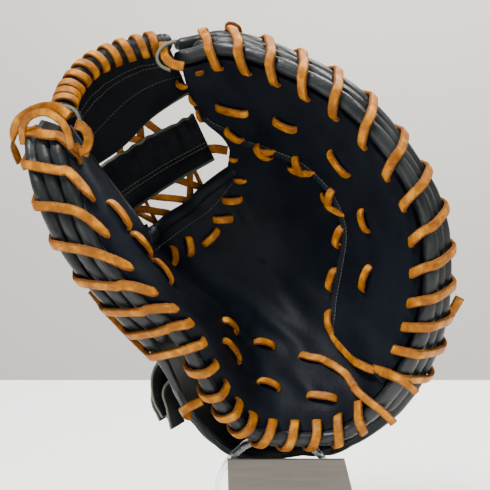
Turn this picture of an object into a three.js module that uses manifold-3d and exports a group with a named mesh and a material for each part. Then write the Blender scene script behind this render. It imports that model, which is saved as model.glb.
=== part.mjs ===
// A first baseman mitt for the left hand, laced in tan leather, on a plain display stand.
// Millimetres, +Z up. The pocket faces -Y and the floor is z = 0.
import * as THREE from "three";
import Module from "manifold-3d";

const wasm = await Module();
wasm.setup();

// Driving dimensions: the mitt
const SPAN = 306; // width of the front view that the outline shares are taken of
const DEPTH = 120; // length that the depth shares are taken of, - ahead of the middle, + behind it
const MIDDLE_HEIGHT = 225; // the mitt's middle above the floor
const EYE_DISTANCE = 850; // where the outline is looked at from
const EYE_TILT = THREE.MathUtils.degToRad(6);
const PALM_WALL = 4;
const PANEL_WALL = 3.5;
const BACK_WALL = 3;
const BAND_WALL = 3;
const STRAP_WALL = 3;
const STRAP_WIDTH = 28;
const ROLL_RADIUS = 4.8;
const WRIST_ROLL_RADIUS = 3.2; // the back edge of the hand opening
const WEB_ROLL_RADIUS = 6.2;
const LACE_WIDTH = 7;
const LACE_WALL = 2.2;
const BREAK_FOLD = 9; // how far the fold between heel and fingers sinks
const GAP = 0.35; // between pieces that touch
const LACE_ARCH = 1.2; // how far a run of lace stands off the palm in its middle
const LACE_SEAT = 0.25; // a lace lies this much higher, clear of the facets under it
const SLOT_ROOM = 0.7; // a slot is this much wider and thicker than its lace
const HIDDEN_STEP = 15; // a lace behind the palm has a stop this often

// Driving dimensions: the stand
const STAND_X = 28; // the stand's middle, right of the mitt's
const PLATE_WALL = 3;
const PLATE_HEIGHT = 74;
const PLATE_TOP = { left: -12, right: 68, y: -12 };
const PLATE_FOOT = { left: -10, right: 86, y: -36 };
const LOOP_WALL = 3;
const LOOP_X = 22;
const LOOP_FRONT = -9;
const LOOP_BACK = 5.2;
const LOOP_RISE = 16.1; // the loop's top above the back roll where the roll rests on it
const LOOP_REACH = 0.19; // how far the loop's side reaches past the roll there
const LOOP_SHOULDER = 0.42; // height of the loop's widest place, as a share of its top
const BASE_WALL = 5;
const BASE_WIDTH = 176;
const BASE_FRONT = -72;
const BASE_BACK = 88;
const BASE_CORNER = 12;

// The rim, clockwise as seen from the front, starting at the finger tip. Across, up and deep place the
// front roll; backAcross, backUp and backDeep place the back roll; kind names the palm's profile there.
const RIM = [
  { name: "finger tip", across: -0.144, up: 0.418, deep: -0.1, backAcross: -0.144, backUp: 0.446, backDeep: 0.07, kind: "web" },
  { name: "index", across: -0.04, up: 0.436, deep: -0.23, backAcross: -0.036, backUp: 0.46, backDeep: -0.065, kind: "finger" },
  { name: "top", across: 0.089, up: 0.396, deep: -0.35, backAcross: 0.104, backUp: 0.416, backDeep: -0.21, kind: "finger" },
  { name: "upper right", across: 0.222, up: 0.32, deep: -0.45, backAcross: 0.244, backUp: 0.336, backDeep: -0.31, kind: "finger" },
  { name: "right shoulder", across: 0.333, up: 0.198, deep: -0.52, backAcross: 0.357, backUp: 0.208, backDeep: -0.38, kind: "finger" },
  { name: "right", across: 0.402, up: 0.067, deep: -0.55, backAcross: 0.429, backUp: 0.069, backDeep: -0.41, kind: "finger" },
  { name: "lower right", across: 0.413, up: -0.091, deep: -0.53, backAcross: 0.441, backUp: -0.094, backDeep: -0.39, kind: "finger" },
  { name: "little finger", across: 0.384, up: -0.224, deep: -0.47, backAcross: 0.413, backUp: -0.236, backDeep: -0.33, kind: "finger" },
  { name: "break", across: 0.313, up: -0.338, deep: -0.37, backAcross: 0.333, backUp: -0.362, backDeep: -0.22, kind: "heel" },
  { name: "heel right", across: 0.222, up: -0.416, deep: -0.3, backAcross: 0.209, backUp: -0.45, backDeep: 0.05, kind: "heel" },
  { name: "heel", across: 0.122, up: -0.431, deep: -0.28, backAcross: 0.118, backUp: -0.46, backDeep: 0.15, kind: "heel" },
  { name: "heel left", across: 0.018, up: -0.418, deep: -0.32, backAcross: -0.011, backUp: -0.467, backDeep: 0.13, kind: "heel" },
  { name: "thumb root", across: -0.058, up: -0.349, deep: -0.4, backAcross: -0.112, backUp: -0.387, backDeep: -0.2, kind: "base" },
  { name: "thumb lower", across: -0.144, up: -0.207, deep: -0.53, backAcross: -0.193, backUp: -0.238, backDeep: -0.44, kind: "ball" },
  { name: "thumb middle", across: -0.242, up: -0.116, deep: -0.62, backAcross: -0.296, backUp: -0.129, backDeep: -0.525, kind: "thumb" },
  { name: "thumb", across: -0.327, up: -0.016, deep: -0.65, backAcross: -0.384, backUp: -0.024, backDeep: -0.56, kind: "thumb" },
  { name: "thumb upper", across: -0.384, up: 0.111, deep: -0.62, backAcross: -0.446, backUp: 0.1, backDeep: -0.57, kind: "thumb" },
  { name: "thumb tip", across: -0.42, up: 0.238, deep: -0.52, backAcross: -0.473, backUp: 0.233, backDeep: -0.42, kind: "tip" },
  { name: "web left", across: -0.407, up: 0.322, deep: -0.36, backAcross: -0.43, backUp: 0.32, backDeep: -0.24, kind: "web" },
  { name: "web middle", across: -0.333, up: 0.407, deep: -0.2, backAcross: -0.34, backUp: 0.42, backDeep: -0.08, kind: "web" },
  { name: "web right", across: -0.222, up: 0.444, deep: -0.1, backAcross: -0.22, backUp: 0.46, backDeep: 0.0, kind: "web" },
];
const POCKET = { across: 0.038, up: -0.038, deep: 0.375, backDeep: 0.66 };

// How the leather runs from the rim (0) to the pocket's middle (1) at a quarter, half and three quarters
// of the way: In is the share of the distance, Deep the share of the depth.
const PALM_PROFILE = {
  finger: { lipIn: 0.22, lipDeep: 0.33, wallIn: 0.46, wallDeep: 0.66, floorIn: 0.74, floorDeep: 0.93 },
  heel: { lipIn: 0.2, lipDeep: 0.16, wallIn: 0.42, wallDeep: 0.55, floorIn: 0.72, floorDeep: 0.92 },
  base: { lipIn: 0.22, lipDeep: 0.12, wallIn: 0.41, wallDeep: 0.48, floorIn: 0.64, floorDeep: 0.89 },
  ball: { lipIn: 0.24, lipDeep: 0.07, wallIn: 0.36, wallDeep: 0.42, floorIn: 0.45, floorDeep: 0.85 },
  thumb: { lipIn: 0.23, lipDeep: 0.04, wallIn: 0.325, wallDeep: 0.38, floorIn: 0.325, floorDeep: 0.84 },
  tip: { lipIn: 0.13, lipDeep: 0.05, wallIn: 0.19, wallDeep: 0.42, floorIn: 0.27, floorDeep: 0.8 },
  web: { lipIn: 0.2, lipDeep: 0.34, wallIn: 0.45, wallDeep: 0.68, floorIn: 0.74, floorDeep: 0.93 },
};
const BACK_PROFILE = {
  finger: { lipIn: 0.08, lipDeep: 0.36, wallIn: 0.26, wallDeep: 0.73, floorIn: 0.58, floorDeep: 0.96 },
  heel: { lipIn: 0.11, lipDeep: 0.36, wallIn: 0.32, wallDeep: 0.72, floorIn: 0.62, floorDeep: 0.95 },
  base: { lipIn: 0.1, lipDeep: 0.38, wallIn: 0.3, wallDeep: 0.74, floorIn: 0.6, floorDeep: 0.96 },
  ball: { lipIn: 0.07, lipDeep: 0.4, wallIn: 0.24, wallDeep: 0.76, floorIn: 0.55, floorDeep: 0.97 },
  thumb: { lipIn: 0.06, lipDeep: 0.4, wallIn: 0.22, wallDeep: 0.77, floorIn: 0.54, floorDeep: 0.97 },
  tip: { lipIn: 0.06, lipDeep: 0.38, wallIn: 0.22, wallDeep: 0.74, floorIn: 0.54, floorDeep: 0.96 },
  web: { lipIn: 0.1, lipDeep: 0.36, wallIn: 0.3, wallDeep: 0.73, floorIn: 0.6, floorDeep: 0.96 },
};

// Where things start and end on the rim, counted in rows of the table above.
const BREAK_ROW = 8;
const FINGER_END = 7.82; // the finger panel stops short of the break
const HEEL_OPEN = { start: 8.45, end: 12.95 }; // front and back part here for the hand
const ROLLS = {
  front: { from: -0.05, to: 17.1, steps: 48 },
  middleFingers: { from: 0.4, to: 8.1, steps: 24 },
  middleThumb: { from: 13.15, to: 17.05, steps: 14 },
  back: { from: -0.05, to: 17.1, steps: 48 },
};
// The rows of the rim lace's holes, and the row on the back where the thumb's lace ends.
const FINGER_HOLES = [0.42, 0.85, 1.42, 1.94, 2.47, 3.02, 3.61, 4.2, 4.77, 5.36, 5.82, 6.31, 6.76, 7.22, 7.66];
const THUMB_HOLES = [
  8.42, 8.95, 9.5, 10.05, 10.57, 11.1, 11.6, 12.05, 12.4, 12.77, 13.17, 13.62, 14.13, 14.79, 15.48, 16.15, 16.8,
];
const THUMB_LACE_END = 17.3;
const LOOP_REST_ROW = 11.2; // the back roll rests on the stand's loop here
const WRIST = { from: 8.9, to: 12.75, inset: 20 }; // the strap, this far in from the back edge

// The finger panel's inner border: how far towards the pocket's middle it reaches at each rim row.
const PANEL_REACH = [0.34, 0.45, 0.45, 0.43, 0.43, 0.48, 0.53, 0.53, 0.5];

// The open web, seen from the front. Its far side is moved across by spread.
const NOTCH = [
  { across: -0.142, up: 0.5, spread: 0 },
  { across: -0.14, up: 0.4, spread: 0 },
  { across: -0.12, up: 0.331, spread: 0 },
  { across: -0.093, up: 0.282, spread: 0 },
  { across: -0.05, up: 0.245, spread: 0 },
  { across: -0.03, up: 0.215, spread: 0 },
  { across: -0.034, up: 0.174, spread: 0 },
  { across: -0.096, up: 0.128, spread: 0 },
  { across: -0.13, up: 0.094, spread: 0 },
  { across: -0.176, up: 0.064, spread: 0 },
  { across: -0.22, up: 0.026, spread: -0.02 },
  { across: -0.25, up: 0.073, spread: -0.036 },
  { across: -0.298, up: 0.136, spread: -0.036 },
  { across: -0.345, up: 0.198, spread: -0.03 },
  { across: -0.39, up: 0.262, spread: -0.02 },
  { across: -0.52, up: 0.3, spread: 0 },
  { across: -0.5, up: 0.52, spread: 0 },
];
// The seam down the back, straight from the crotch to the heel: across, up, deep.
const BACK_SEAM = { crotch: [-0.13, 0.09, 1], heel: [0.02, -0.45, 1] };
const HAND_HOLE = { across: 0.05, up: -0.2, halfWidth: 0.12, halfHeight: 0.062, sides: 14 };

// The wall behind the notch's edge, from the finger tip round the crotch to the thumb's tip.
const WALL_LINE = [
  { across: -0.128, up: 0.375 },
  { across: -0.111, up: 0.329 },
  { across: -0.084, up: 0.28 },
  { across: -0.041, up: 0.243 },
  { across: -0.021, up: 0.212 },
  { across: -0.022, up: 0.156 },
  { across: -0.08, up: 0.106 },
  { across: -0.114, up: 0.07 },
  { across: -0.164, up: 0.039 },
];

// The laces that show on the palm in short runs: the holes of each run, seen from the front as [across, up].
const PALM_RUNS = {
  finger_lace: [
    [[-0.058, 0.318], [0.012, 0.304]],
    [[0.072, 0.29], [0.122, 0.268]],
    [[0.2, 0.218], [0.243, 0.162]],
    [[0.272, 0.086], [0.288, 0.034]],
    [[0.292, -0.046], [0.276, -0.1]],
  ],
  border_lace: [
    [[-0.036, 0.267], [0.0, 0.243]],
    [[0.032, 0.232], [0.06, 0.196]],
    [[0.12, 0.206], [0.14, 0.164]],
    [[0.205, 0.13], [0.196, 0.08]],
    [[0.227, 0.045], [0.216, 0.0]],
    [[0.213, -0.054], [0.2, -0.1]],
  ],
  palm_lace: [
    [[-0.05, 0.1], [-0.008, 0.104]],
    [[-0.03, 0.06], [-0.07, 0.058]],
    [[-0.06, 0.034], [-0.092, 0.0]],
    [[-0.128, 0.016], [-0.124, -0.024]],
    [[-0.162, -0.046], [-0.166, -0.006]],
  ],
  heel_lace: [
    [[-0.052, -0.17], [-0.024, -0.196]],
    [[-0.052, -0.214], [-0.018, -0.262]],
    [[0.02, -0.218], [0.064, -0.23]],
    [[0.028, -0.306], [0.076, -0.324]],
    [[0.14, -0.338], [0.204, -0.342]],
  ],
  break_lace_finger: [[[0.198, -0.15], [0.205, -0.206], [0.245, -0.254], [0.298, -0.28]]],
  break_lace_heel: [[[0.124, -0.249], [0.178, -0.26], [0.228, -0.292], [0.26, -0.334]]],
  thumb_edge_lace: [
    [[-0.307, 0.094], [-0.262, 0.033]],
    [[-0.256, 0.024], [-0.215, -0.029]],
    [[-0.209, -0.036], [-0.168, -0.089]],
  ],
};

// The web's bands, seen from the front, from the thumb's side to the fingers'. Each row is one section.
const TOP_BAND = [
  { topAcross: -0.4, topUp: 0.27, topDeep: -0.3, lowAcross: -0.338, lowUp: 0.172, lowDeep: -0.04 },
  { topAcross: -0.37, topUp: 0.345, topDeep: -0.22, lowAcross: -0.273, lowUp: 0.216, lowDeep: 0.06 },
  { topAcross: -0.31, topUp: 0.393, topDeep: -0.12, lowAcross: -0.211, lowUp: 0.278, lowDeep: 0.08 },
  { topAcross: -0.24, topUp: 0.42, topDeep: -0.06, lowAcross: -0.164, lowUp: 0.313, lowDeep: 0.06 },
  { topAcross: -0.162, topUp: 0.425, topDeep: -0.03, lowAcross: -0.125, lowUp: 0.338, lowDeep: 0.02 },
];
const MIDDLE_BAND = [
  { topAcross: -0.343, topUp: 0.16, topDeep: 0.04, lowAcross: -0.27, lowUp: 0.064, lowDeep: 0.07 },
  { topAcross: -0.225, topUp: 0.233, topDeep: 0.15, lowAcross: -0.165, lowUp: 0.135, lowDeep: 0.18 },
  { topAcross: -0.113, topUp: 0.289, topDeep: 0.14, lowAcross: -0.068, lowUp: 0.191, lowDeep: 0.18 },
];
const TOP_ROLL = [
  { across: -0.404, up: 0.298, deep: -0.42 },
  { across: -0.391, up: 0.34, deep: -0.33 },
  { across: -0.352, up: 0.391, deep: -0.24 },
  { across: -0.29, up: 0.425, deep: -0.15 },
  { across: -0.222, up: 0.444, deep: -0.1 },
  { across: -0.178, up: 0.449, deep: -0.08 },
];
const TOP_LACE_TURNS = 10;
const BAND_BULGE = 0.06; // how far a band's middle bows back, as a share of DEPTH
const BAND_FOLD = 0.062; // the top band starts this share of its height below the roll

// The lattice that joins the bands: on names the band that a stop lies behind.
const UPPER_WEB_LACE = [
  { on: "middle", across: -0.174, up: 0.234 },
  { on: "top", across: -0.235, up: 0.285 },
  { across: -0.229, up: 0.205, deep: 0.255 },
  { across: -0.196, up: 0.222, deep: 0.255 },
  { on: "top", across: -0.282, up: 0.245 },
  { on: "middle", across: -0.266, up: 0.174 },
];
const LOWER_WEB_LACE = [
  { on: "middle", across: -0.17, up: 0.155 },
  { across: -0.093, up: 0.126, deep: 0.341 },
  { on: "middle", across: -0.124, up: 0.186 },
  { across: -0.123, up: 0.099, deep: 0.356 },
  { on: "middle", across: -0.228, up: 0.115 },
  { across: -0.198, up: 0.051, deep: 0.347 },
  { on: "middle", across: -0.262, up: 0.09 },
  { across: -0.168, up: 0.07, deep: 0.328 },
];

// Short laces, knots and loose ends: stops placed by hand, seen from the front.
const HAND_LACES = {
  thumb_tip_loop: [
    { across: -0.502, up: 0.185, deep: -0.33, wide: "up" },
    { across: -0.517, up: 0.232, deep: -0.4, wide: "up" },
    { across: -0.501, up: 0.278, deep: -0.46 },
    { across: -0.457, up: 0.305, deep: -0.52 },
    { across: -0.414, up: 0.305, deep: -0.56 },
    { across: -0.39, up: 0.287, deep: -0.6 },
  ],
  thumb_tip_knot: [
    { across: -0.377, up: 0.268, deep: -0.62 },
    { across: -0.358, up: 0.26, deep: -0.6 },
    { across: -0.347, up: 0.238, deep: -0.57 },
    { across: -0.354, up: 0.213, deep: -0.58 },
    { across: -0.371, up: 0.205, deep: -0.6 },
  ],
  finger_tip_tie: [
    { across: -0.183, up: 0.452, deep: -0.17 },
    { across: -0.179, up: 0.42, deep: -0.19 },
    { across: -0.163, up: 0.402, deep: -0.2 },
    { across: -0.136, up: 0.396, deep: -0.2 },
  ],
  top_knot: [
    { across: -0.018, up: 0.456, deep: 0.06, wide: "deep" },
    { across: -0.04, up: 0.477, deep: 0.06, wide: "deep" },
    { across: -0.035, up: 0.493, deep: 0.02, wide: "deep" },
    { across: -0.015, up: 0.486, deep: 0.02, wide: "deep" },
    { across: -0.008, up: 0.466, deep: 0.05, wide: "deep" },
  ],
  heel_knot: [
    { across: -0.096, up: -0.346, deep: -0.38, wide: "fold" },
    { across: -0.13, up: -0.364, deep: -0.4, wide: "fold" },
    { across: -0.14, up: -0.373, deep: -0.36, wide: "fold" },
    { across: -0.132, up: -0.378, deep: -0.31, wide: "fold" },
    { across: -0.122, up: -0.38, deep: -0.29, wide: "fold" },
  ],
  thumb_lace_tail: [
    { across: -0.342, up: -0.1, deep: -0.45, wide: "turned" },
    { across: -0.305, up: -0.148, deep: -0.435, wide: "turned" },
    { across: -0.261, up: -0.195, deep: -0.401, wide: "turned" },
    { across: -0.2205, up: -0.2345, deep: -0.362, wide: "turned" },
  ],
  web_side_tie: [
    { across: -0.092, up: 0.212, deep: 0.256 },
    { across: -0.068, up: 0.214, deep: 0.237 },
    { across: -0.041, up: 0.21, deep: 0.167 },
  ],
  side_lace_end: [
    { across: 0.446, up: -0.172, deep: -0.272 },
    { across: 0.462, up: -0.144, deep: -0.307 },
    { across: 0.478, up: -0.117, deep: -0.327 },
  ],
};

// The end of the wrist strap, doubled back beside the heel: it leaves the back at a rim row and share in.
const TAB_START = { t: 13.0, s: 0.3 };
const TAB_LINE = [
  { across: -0.194, up: -0.27, deep: 0.1 },
  { across: -0.2, up: -0.306, deep: 0.06 },
  { across: -0.186, up: -0.35, deep: 0.05 },
  { across: -0.158, up: -0.388, deep: 0.07 },
];

const EYE = new THREE.Vector3(
  0,
  -EYE_DISTANCE * Math.cos(EYE_TILT),
  MIDDLE_HEIGHT + EYE_DISTANCE * Math.sin(EYE_TILT),
);

// The point at a depth that is seen at a share across and up, from the eye in front of the mitt.
function seen(across, up, deep) {
  const right = (across * SPAN) / EYE_DISTANCE;
  const high = (up * SPAN) / EYE_DISTANCE;
  const ray = new THREE.Vector3(
    right,
    Math.cos(EYE_TILT) + high * Math.sin(EYE_TILT),
    -Math.sin(EYE_TILT) + high * Math.cos(EYE_TILT),
  );
  return EYE.clone().addScaledVector(ray, (deep * DEPTH - EYE.y) / ray.y);
}

// The shares across and up at which a point is seen.
function sharesOf(point) {
  const offset = point.clone().sub(EYE);
  const away = offset.y * Math.cos(EYE_TILT) - offset.z * Math.sin(EYE_TILT);
  const high = offset.y * Math.sin(EYE_TILT) + offset.z * Math.cos(EYE_TILT);
  const scale = EYE_DISTANCE / SPAN / away;
  return [offset.x * scale, high * scale];
}

// A smooth curve through rows of numbers; t counts rows.
function spline(rows, t, closed = false) {
  const count = rows.length;
  const start = closed ? Math.floor(t) : Math.min(count - 2, Math.max(0, Math.floor(t)));
  const f = t - start;
  const row = (k) => rows[closed ? ((k % count) + count) % count : Math.min(count - 1, Math.max(0, k))];
  const [p0, p1, p2, p3] = [row(start - 1), row(start), row(start + 1), row(start + 2)];
  return p1.map((value, k) => {
    const slope = (p2[k] - p0[k]) * f;
    const bend = (2 * p0[k] - 5 * value + 4 * p2[k] - p3[k]) * f * f;
    const twist = (3 * value - p0[k] - 3 * p2[k] + p3[k]) * f * f * f;
    return (2 * value + slope + bend + twist) / 2;
  });
}

const asPoint = (numbers) => new THREE.Vector3(...numbers);
const FRONT_RIM = RIM.map((row) => seen(row.across, row.up, row.deep).toArray());
const BACK_RIM = RIM.map((row) => seen(row.backAcross, row.backUp, row.backDeep).toArray());
const PALM_MIDDLE = seen(POCKET.across, POCKET.up, POCKET.deep);
const BACK_MIDDLE = seen(POCKET.across, POCKET.up, POCKET.backDeep);
const palmRows = RIM.map((row) => Object.values(PALM_PROFILE[row.kind]));
const backRows = RIM.map((row) => Object.values(BACK_PROFILE[row.kind]));

// The point a share s of the way from the rim to the middle, at rim row t.
function bowl(rim, middle, profileRows, t, s) {
  const edge = asPoint(spline(rim, t, true));
  const [lipIn, lipDeep, wallIn, wallDeep, floorIn, floorDeep] = spline(profileRows, t, true);
  const profile = [
    [-lipIn, -lipDeep],
    [0, 0],
    [lipIn, lipDeep],
    [wallIn, wallDeep],
    [floorIn, floorDeep],
    [1, 1],
    [2 - floorIn, floorDeep],
  ];
  const [inward, deep] = spline(profile, 1 + 4 * s);
  return new THREE.Vector3(
    THREE.MathUtils.lerp(edge.x, middle.x, inward),
    THREE.MathUtils.lerp(edge.y, middle.y, deep),
    THREE.MathUtils.lerp(edge.z, middle.z, inward),
  );
}

// The fold between the heel and the fingers sinks the palm there.
function palmAt(t, s) {
  const point = bowl(FRONT_RIM, PALM_MIDDLE, palmRows, t, s);
  const across = Math.exp(-(((t - BREAK_ROW - 0.05) / 0.42) ** 2));
  const along = Math.sin(Math.PI * Math.min(1, s / 0.62)) ** 2;
  point.y += BREAK_FOLD * across * along;
  return point;
}

const backAt = (t, s) => bowl(BACK_RIM, BACK_MIDDLE, backRows, t, s);

// Position, tangent round the rim, direction inwards and normal towards the front, at (t, s) of a surface.
function frameOf(surface, t, s) {
  const step = 0.002;
  const at = surface(t, s);
  const round = surface(t + step, s).sub(surface(t - step, s)).normalize();
  const low = Math.min(s, 1 - step);
  const inward = surface(t, low + step).sub(surface(t, low - step)).normalize();
  const front = inward.clone().cross(round).normalize();
  return { at, round, inward, front };
}

// The s at which a surface has run a distance square to its rim.
function inset(surface, t, squareDistance) {
  const { round, inward } = frameOf(surface, t, 0.02);
  const distance = squareDistance / round.clone().cross(inward).length();
  const step = 0.01;
  let s = 0;
  let run = 0;
  let last = surface(t, 0);
  while (s < 1) {
    const next = surface(t, s + step);
    const length = next.distanceTo(last);
    if (run + length > distance) return s + (step * (distance - run)) / length;
    run += length;
    s += step;
    last = next;
  }
  return 1;
}

// The (t, s) at which a surface is seen at a share across and up. Reach is how far t and s go.
function find(surface, across, up, reach = { t: RIM.length, s: 0.97, grid: 0.25 }) {
  const miss = (t, s) => {
    const [a, u] = sharesOf(surface(t, s));
    return [a - across, u - up];
  };
  let best = { t: 0, s: 0, size: Infinity };
  for (let t = 0; t <= reach.t; t += reach.grid) {
    for (let s = 0; s <= reach.s; s += 0.06) {
      const size = Math.hypot(...miss(t, s));
      if (size < best.size) best = { t, s, size };
    }
  }
  let { t, s } = best;
  const step = 0.001;
  for (let turn = 0; turn < 8; turn += 1) {
    const [a, u] = miss(t, s);
    const [at, ut] = miss(t + step, s);
    const [as, us] = miss(t, s + step);
    const [tt, ts, st, ss] = [(at - a) / step, (as - a) / step, (ut - u) / step, (us - u) / step];
    const area = tt * ss - ts * st;
    if (Math.abs(area) < 1e-9) break;
    t += THREE.MathUtils.clamp((-a * ss + u * ts) / area, -reach.grid, reach.grid);
    s = THREE.MathUtils.clamp(s + (a * st - u * tt) / area, 0, reach.s);
  }
  return { t, s };
}

// A closed solid from points and triangles, with its faces turned outwards.
function solid(points, triangles) {
  const vertProperties = new Float32Array(points.flatMap((p) => p.toArray()));
  const made = (faces) => {
    const triVerts = new Uint32Array(faces.flat());
    return new wasm.Manifold(new wasm.Mesh({ numProp: 3, vertProperties, triVerts }));
  };
  const first = made(triangles);
  return first.volume() > 0 ? first : made(triangles.map(([a, b, c]) => [a, c, b]));
}

// A wall between two matching grids of points. Columns run round, and a middle closes their inner ends.
function wall(front, back, { round = false, middle = null } = {}) {
  const columns = front.length;
  const rows = front[0].length;
  const points = [...front.flat(), ...back.flat()];
  const triangles = [];
  const quad = (a, b, c, d) => triangles.push([a, b, c], [a, c, d]);
  const id = (i, j, side) => side * columns * rows + (i % columns) * rows + j;
  for (let i = 0; i < (round ? columns : columns - 1); i += 1) {
    for (let j = 0; j < rows - 1; j += 1) {
      quad(id(i, j, 0), id(i + 1, j, 0), id(i + 1, j + 1, 0), id(i, j + 1, 0));
      quad(id(i, j, 1), id(i, j + 1, 1), id(i + 1, j + 1, 1), id(i + 1, j, 1));
    }
    quad(id(i, 0, 0), id(i, 0, 1), id(i + 1, 0, 1), id(i + 1, 0, 0));
    const j = rows - 1;
    if (!middle) quad(id(i, j, 0), id(i + 1, j, 0), id(i + 1, j, 1), id(i, j, 1));
  }
  if (middle) {
    const centre = points.push(...middle) - 2;
    for (let i = 0; i < columns; i += 1) {
      triangles.push([id(i, rows - 1, 0), id(i + 1, rows - 1, 0), centre]);
      triangles.push([id(i + 1, rows - 1, 1), id(i, rows - 1, 1), centre + 1]);
    }
  }
  if (!round) {
    const last = columns - 1;
    for (let j = 0; j < rows - 1; j += 1) {
      quad(id(0, j, 0), id(0, j + 1, 0), id(0, j + 1, 1), id(0, j, 1));
      quad(id(last, j, 0), id(last, j, 1), id(last, j + 1, 1), id(last, j + 1, 0));
    }
  }
  return solid(points, triangles);
}

// A wall of one thickness on a surface, sampled at (t, s) stops and lifted off it to the front.
function layer(surface, stops, thick, lift = 0, closing = {}) {
  const side = (sign) =>
    stops.map((column) =>
      column.map(([t, s]) => {
        const frame = frameOf(surface, t, s);
        return frame.at.addScaledVector(frame.front, lift + (sign * thick) / 2);
      }),
    );
  return wall(side(1), side(-1), closing);
}

// A solid between two matching outlines; flat gives the outline in two dimensions.
function prism(front, back, flat) {
  const count = flat.length;
  const turn = THREE.ShapeUtils.area(flat) > 0 ? 1 : -1;
  const triangles = THREE.ShapeUtils.triangulateShape(flat, []).flatMap(([a, b, c]) => [
    [a, b, c],
    [count + a, count + c, count + b],
  ]);
  for (let k = 0; k < count; k += 1) {
    const next = (k + 1) % count;
    const [a, b] = turn > 0 ? [k, next] : [next, k];
    triangles.push([a, count + a, count + b], [a, count + b, b]);
  }
  return solid([...front, ...back], triangles);
}

// Sweeps a section along stops, each with a point and a vector across. Section pairs are across, out.
function sweep(stops, sectionAt) {
  const last = stops.length - 1;
  const rings = stops.map((stop, i) => {
    const arriving = stop.at.clone().sub(stops[Math.max(0, i - 1)].at).normalize();
    const leaving = stops[Math.min(last, i + 1)].at.clone().sub(stop.at).normalize();
    const along = arriving.clone().add(leaving).normalize();
    const across = stop.across.clone().addScaledVector(along, -stop.across.dot(along)).normalize();
    const out = along.clone().cross(across).normalize();
    const mitre = i > 0 && i < last ? Math.max(0.6, along.dot(leaving)) : 1;
    return sectionAt(i).map(([x, y]) =>
      stop.at.clone().addScaledVector(across, x).addScaledVector(out, y / mitre),
    );
  });
  const sides = rings[0].length;
  const triangles = [];
  for (let i = 0; i < last; i += 1) {
    for (let k = 0; k < sides; k += 1) {
      const next = (k + 1) % sides;
      const [a, b] = [i * sides + k, i * sides + next];
      triangles.push([a, b, b + sides], [a, b + sides, a + sides]);
    }
  }
  for (let k = 1; k < sides - 1; k += 1) {
    const end = last * sides;
    triangles.push([0, k + 1, k], [end, end + k, end + k + 1]);
  }
  return solid(rings.flat(), triangles);
}

const rectangle = (width, height) => [
  [width / 2, height / 2],
  [-width / 2, height / 2],
  [-width / 2, -height / 2],
  [width / 2, -height / 2],
];
const circle = (radius, sides) =>
  Array.from({ length: sides }, (_, k) => {
    const turn = (2 * Math.PI * k) / sides;
    return [radius * Math.cos(turn), radius * Math.sin(turn)];
  });
const range = (from, to, count) =>
  Array.from({ length: count }, (_, k) => from + ((to - from) * k) / (count - 1));
// What is left of a body after its cutters, without crumbs.
function cut(body, cutters) {
  const left = cutters.reduce((rest, cutter) => rest.subtract(cutter), body);
  return left.decompose().reduce((most, piece) => (piece.volume() > most.volume() ? piece : most));
}

const strap = (stops, width = LACE_WIDTH, thick = LACE_WALL) =>
  sweep(stops, () => rectangle(width, thick));
// A lace's body, and the slightly larger one that clears its way through the leather.
const laced = (stops) => ({
  body: strap(stops),
  way: strap(stops, LACE_WIDTH + SLOT_ROOM, LACE_WALL + SLOT_ROOM),
});

// A rod with rounded ends; radiusAt gives its radius at each stop.
function rod(stops, radiusAt, sides = 6) {
  const tips = [0.5, 0.88];
  return sweep(stops, (i) => {
    const fromEnd = Math.min(i, stops.length - 1 - i);
    return circle(radiusAt(i) * (tips[fromEnd] ?? 1), sides);
  });
}

// The shells

const shellEdge = ROLL_RADIUS + GAP;
const DISC_END = 0.9; // a shell's last ring before its middle
const isHeel = (t) => t > HEEL_OPEN.start && t < HEEL_OPEN.end;

// Rim rows at which a shell is sampled, closer together near the break.
function columnsOf(coarse, fine) {
  const columns = [];
  for (let t = 0; t < RIM.length - 0.01; t += Math.abs(t - BREAK_ROW) < 0.9 ? fine : coarse) columns.push(t);
  return columns;
}

// The grid that a shell is sampled at, and the surface of its flat facets, on which other pieces lie.
function gridOf(surface, columns, rings) {
  const stops = columns.map((t) => range(inset(surface, t, shellEdge), DISC_END, rings).map((s) => [t, s]));
  const points = stops.map((column) => column.map(([t, s]) => surface(t, s)));
  const facets = (t, s) => {
    const turned = ((t % RIM.length) + RIM.length) % RIM.length;
    const i = columns.findLastIndex((column) => column <= turned);
    const next = (i + 1) % columns.length;
    const f = (turned - columns[i]) / ((columns[next] || RIM.length) - columns[i]);
    const start = THREE.MathUtils.lerp(stops[i][0][1], stops[next][0][1], f);
    const ring = ((s - start) / (DISC_END - start)) * (rings - 1);
    if (ring >= rings - 1) return surface(t, s);
    const j = Math.max(0, Math.floor(ring));
    const low = points[i][j].clone().lerp(points[next][j], f);
    return low.lerp(points[i][j + 1].clone().lerp(points[next][j + 1], f), ring - j);
  };
  return { columns, stops, facets };
}

// A disc of leather over a whole bowl, from just inside its roll to the middle.
function disc(surface, thick, { stops }) {
  const middle = frameOf(surface, 0, 0.999).at;
  const half = new THREE.Vector3(0, thick / 2, 0);
  const ends = [middle.clone().sub(half), middle.clone().add(half)];
  return layer(surface, stops, thick, 0, { round: true, middle: ends });
}

const palmGrid = gridOf(palmAt, columnsOf(0.6, 0.3), 7);
const backGrid = gridOf(backAt, columnsOf(0.7, 0.7), 5);

// The leather panel along the fingers, laid on the palm from the rim to its border.
const panelReach = (t) => spline(PANEL_REACH.map((reach) => [reach]), t)[0];
function fingerPanel() {
  const columns = [0.06, ...palmGrid.columns.filter((t) => t > 0.1 && t < FINGER_END - 0.1), FINGER_END];
  const stops = columns.map((t) => range(inset(palmAt, t, shellEdge), panelReach(t), 4).map((s) => [t, s]));
  return layer(palmGrid.facets, stops, PANEL_WALL, PALM_WALL / 2 + GAP + PANEL_WALL / 2);
}

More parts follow.
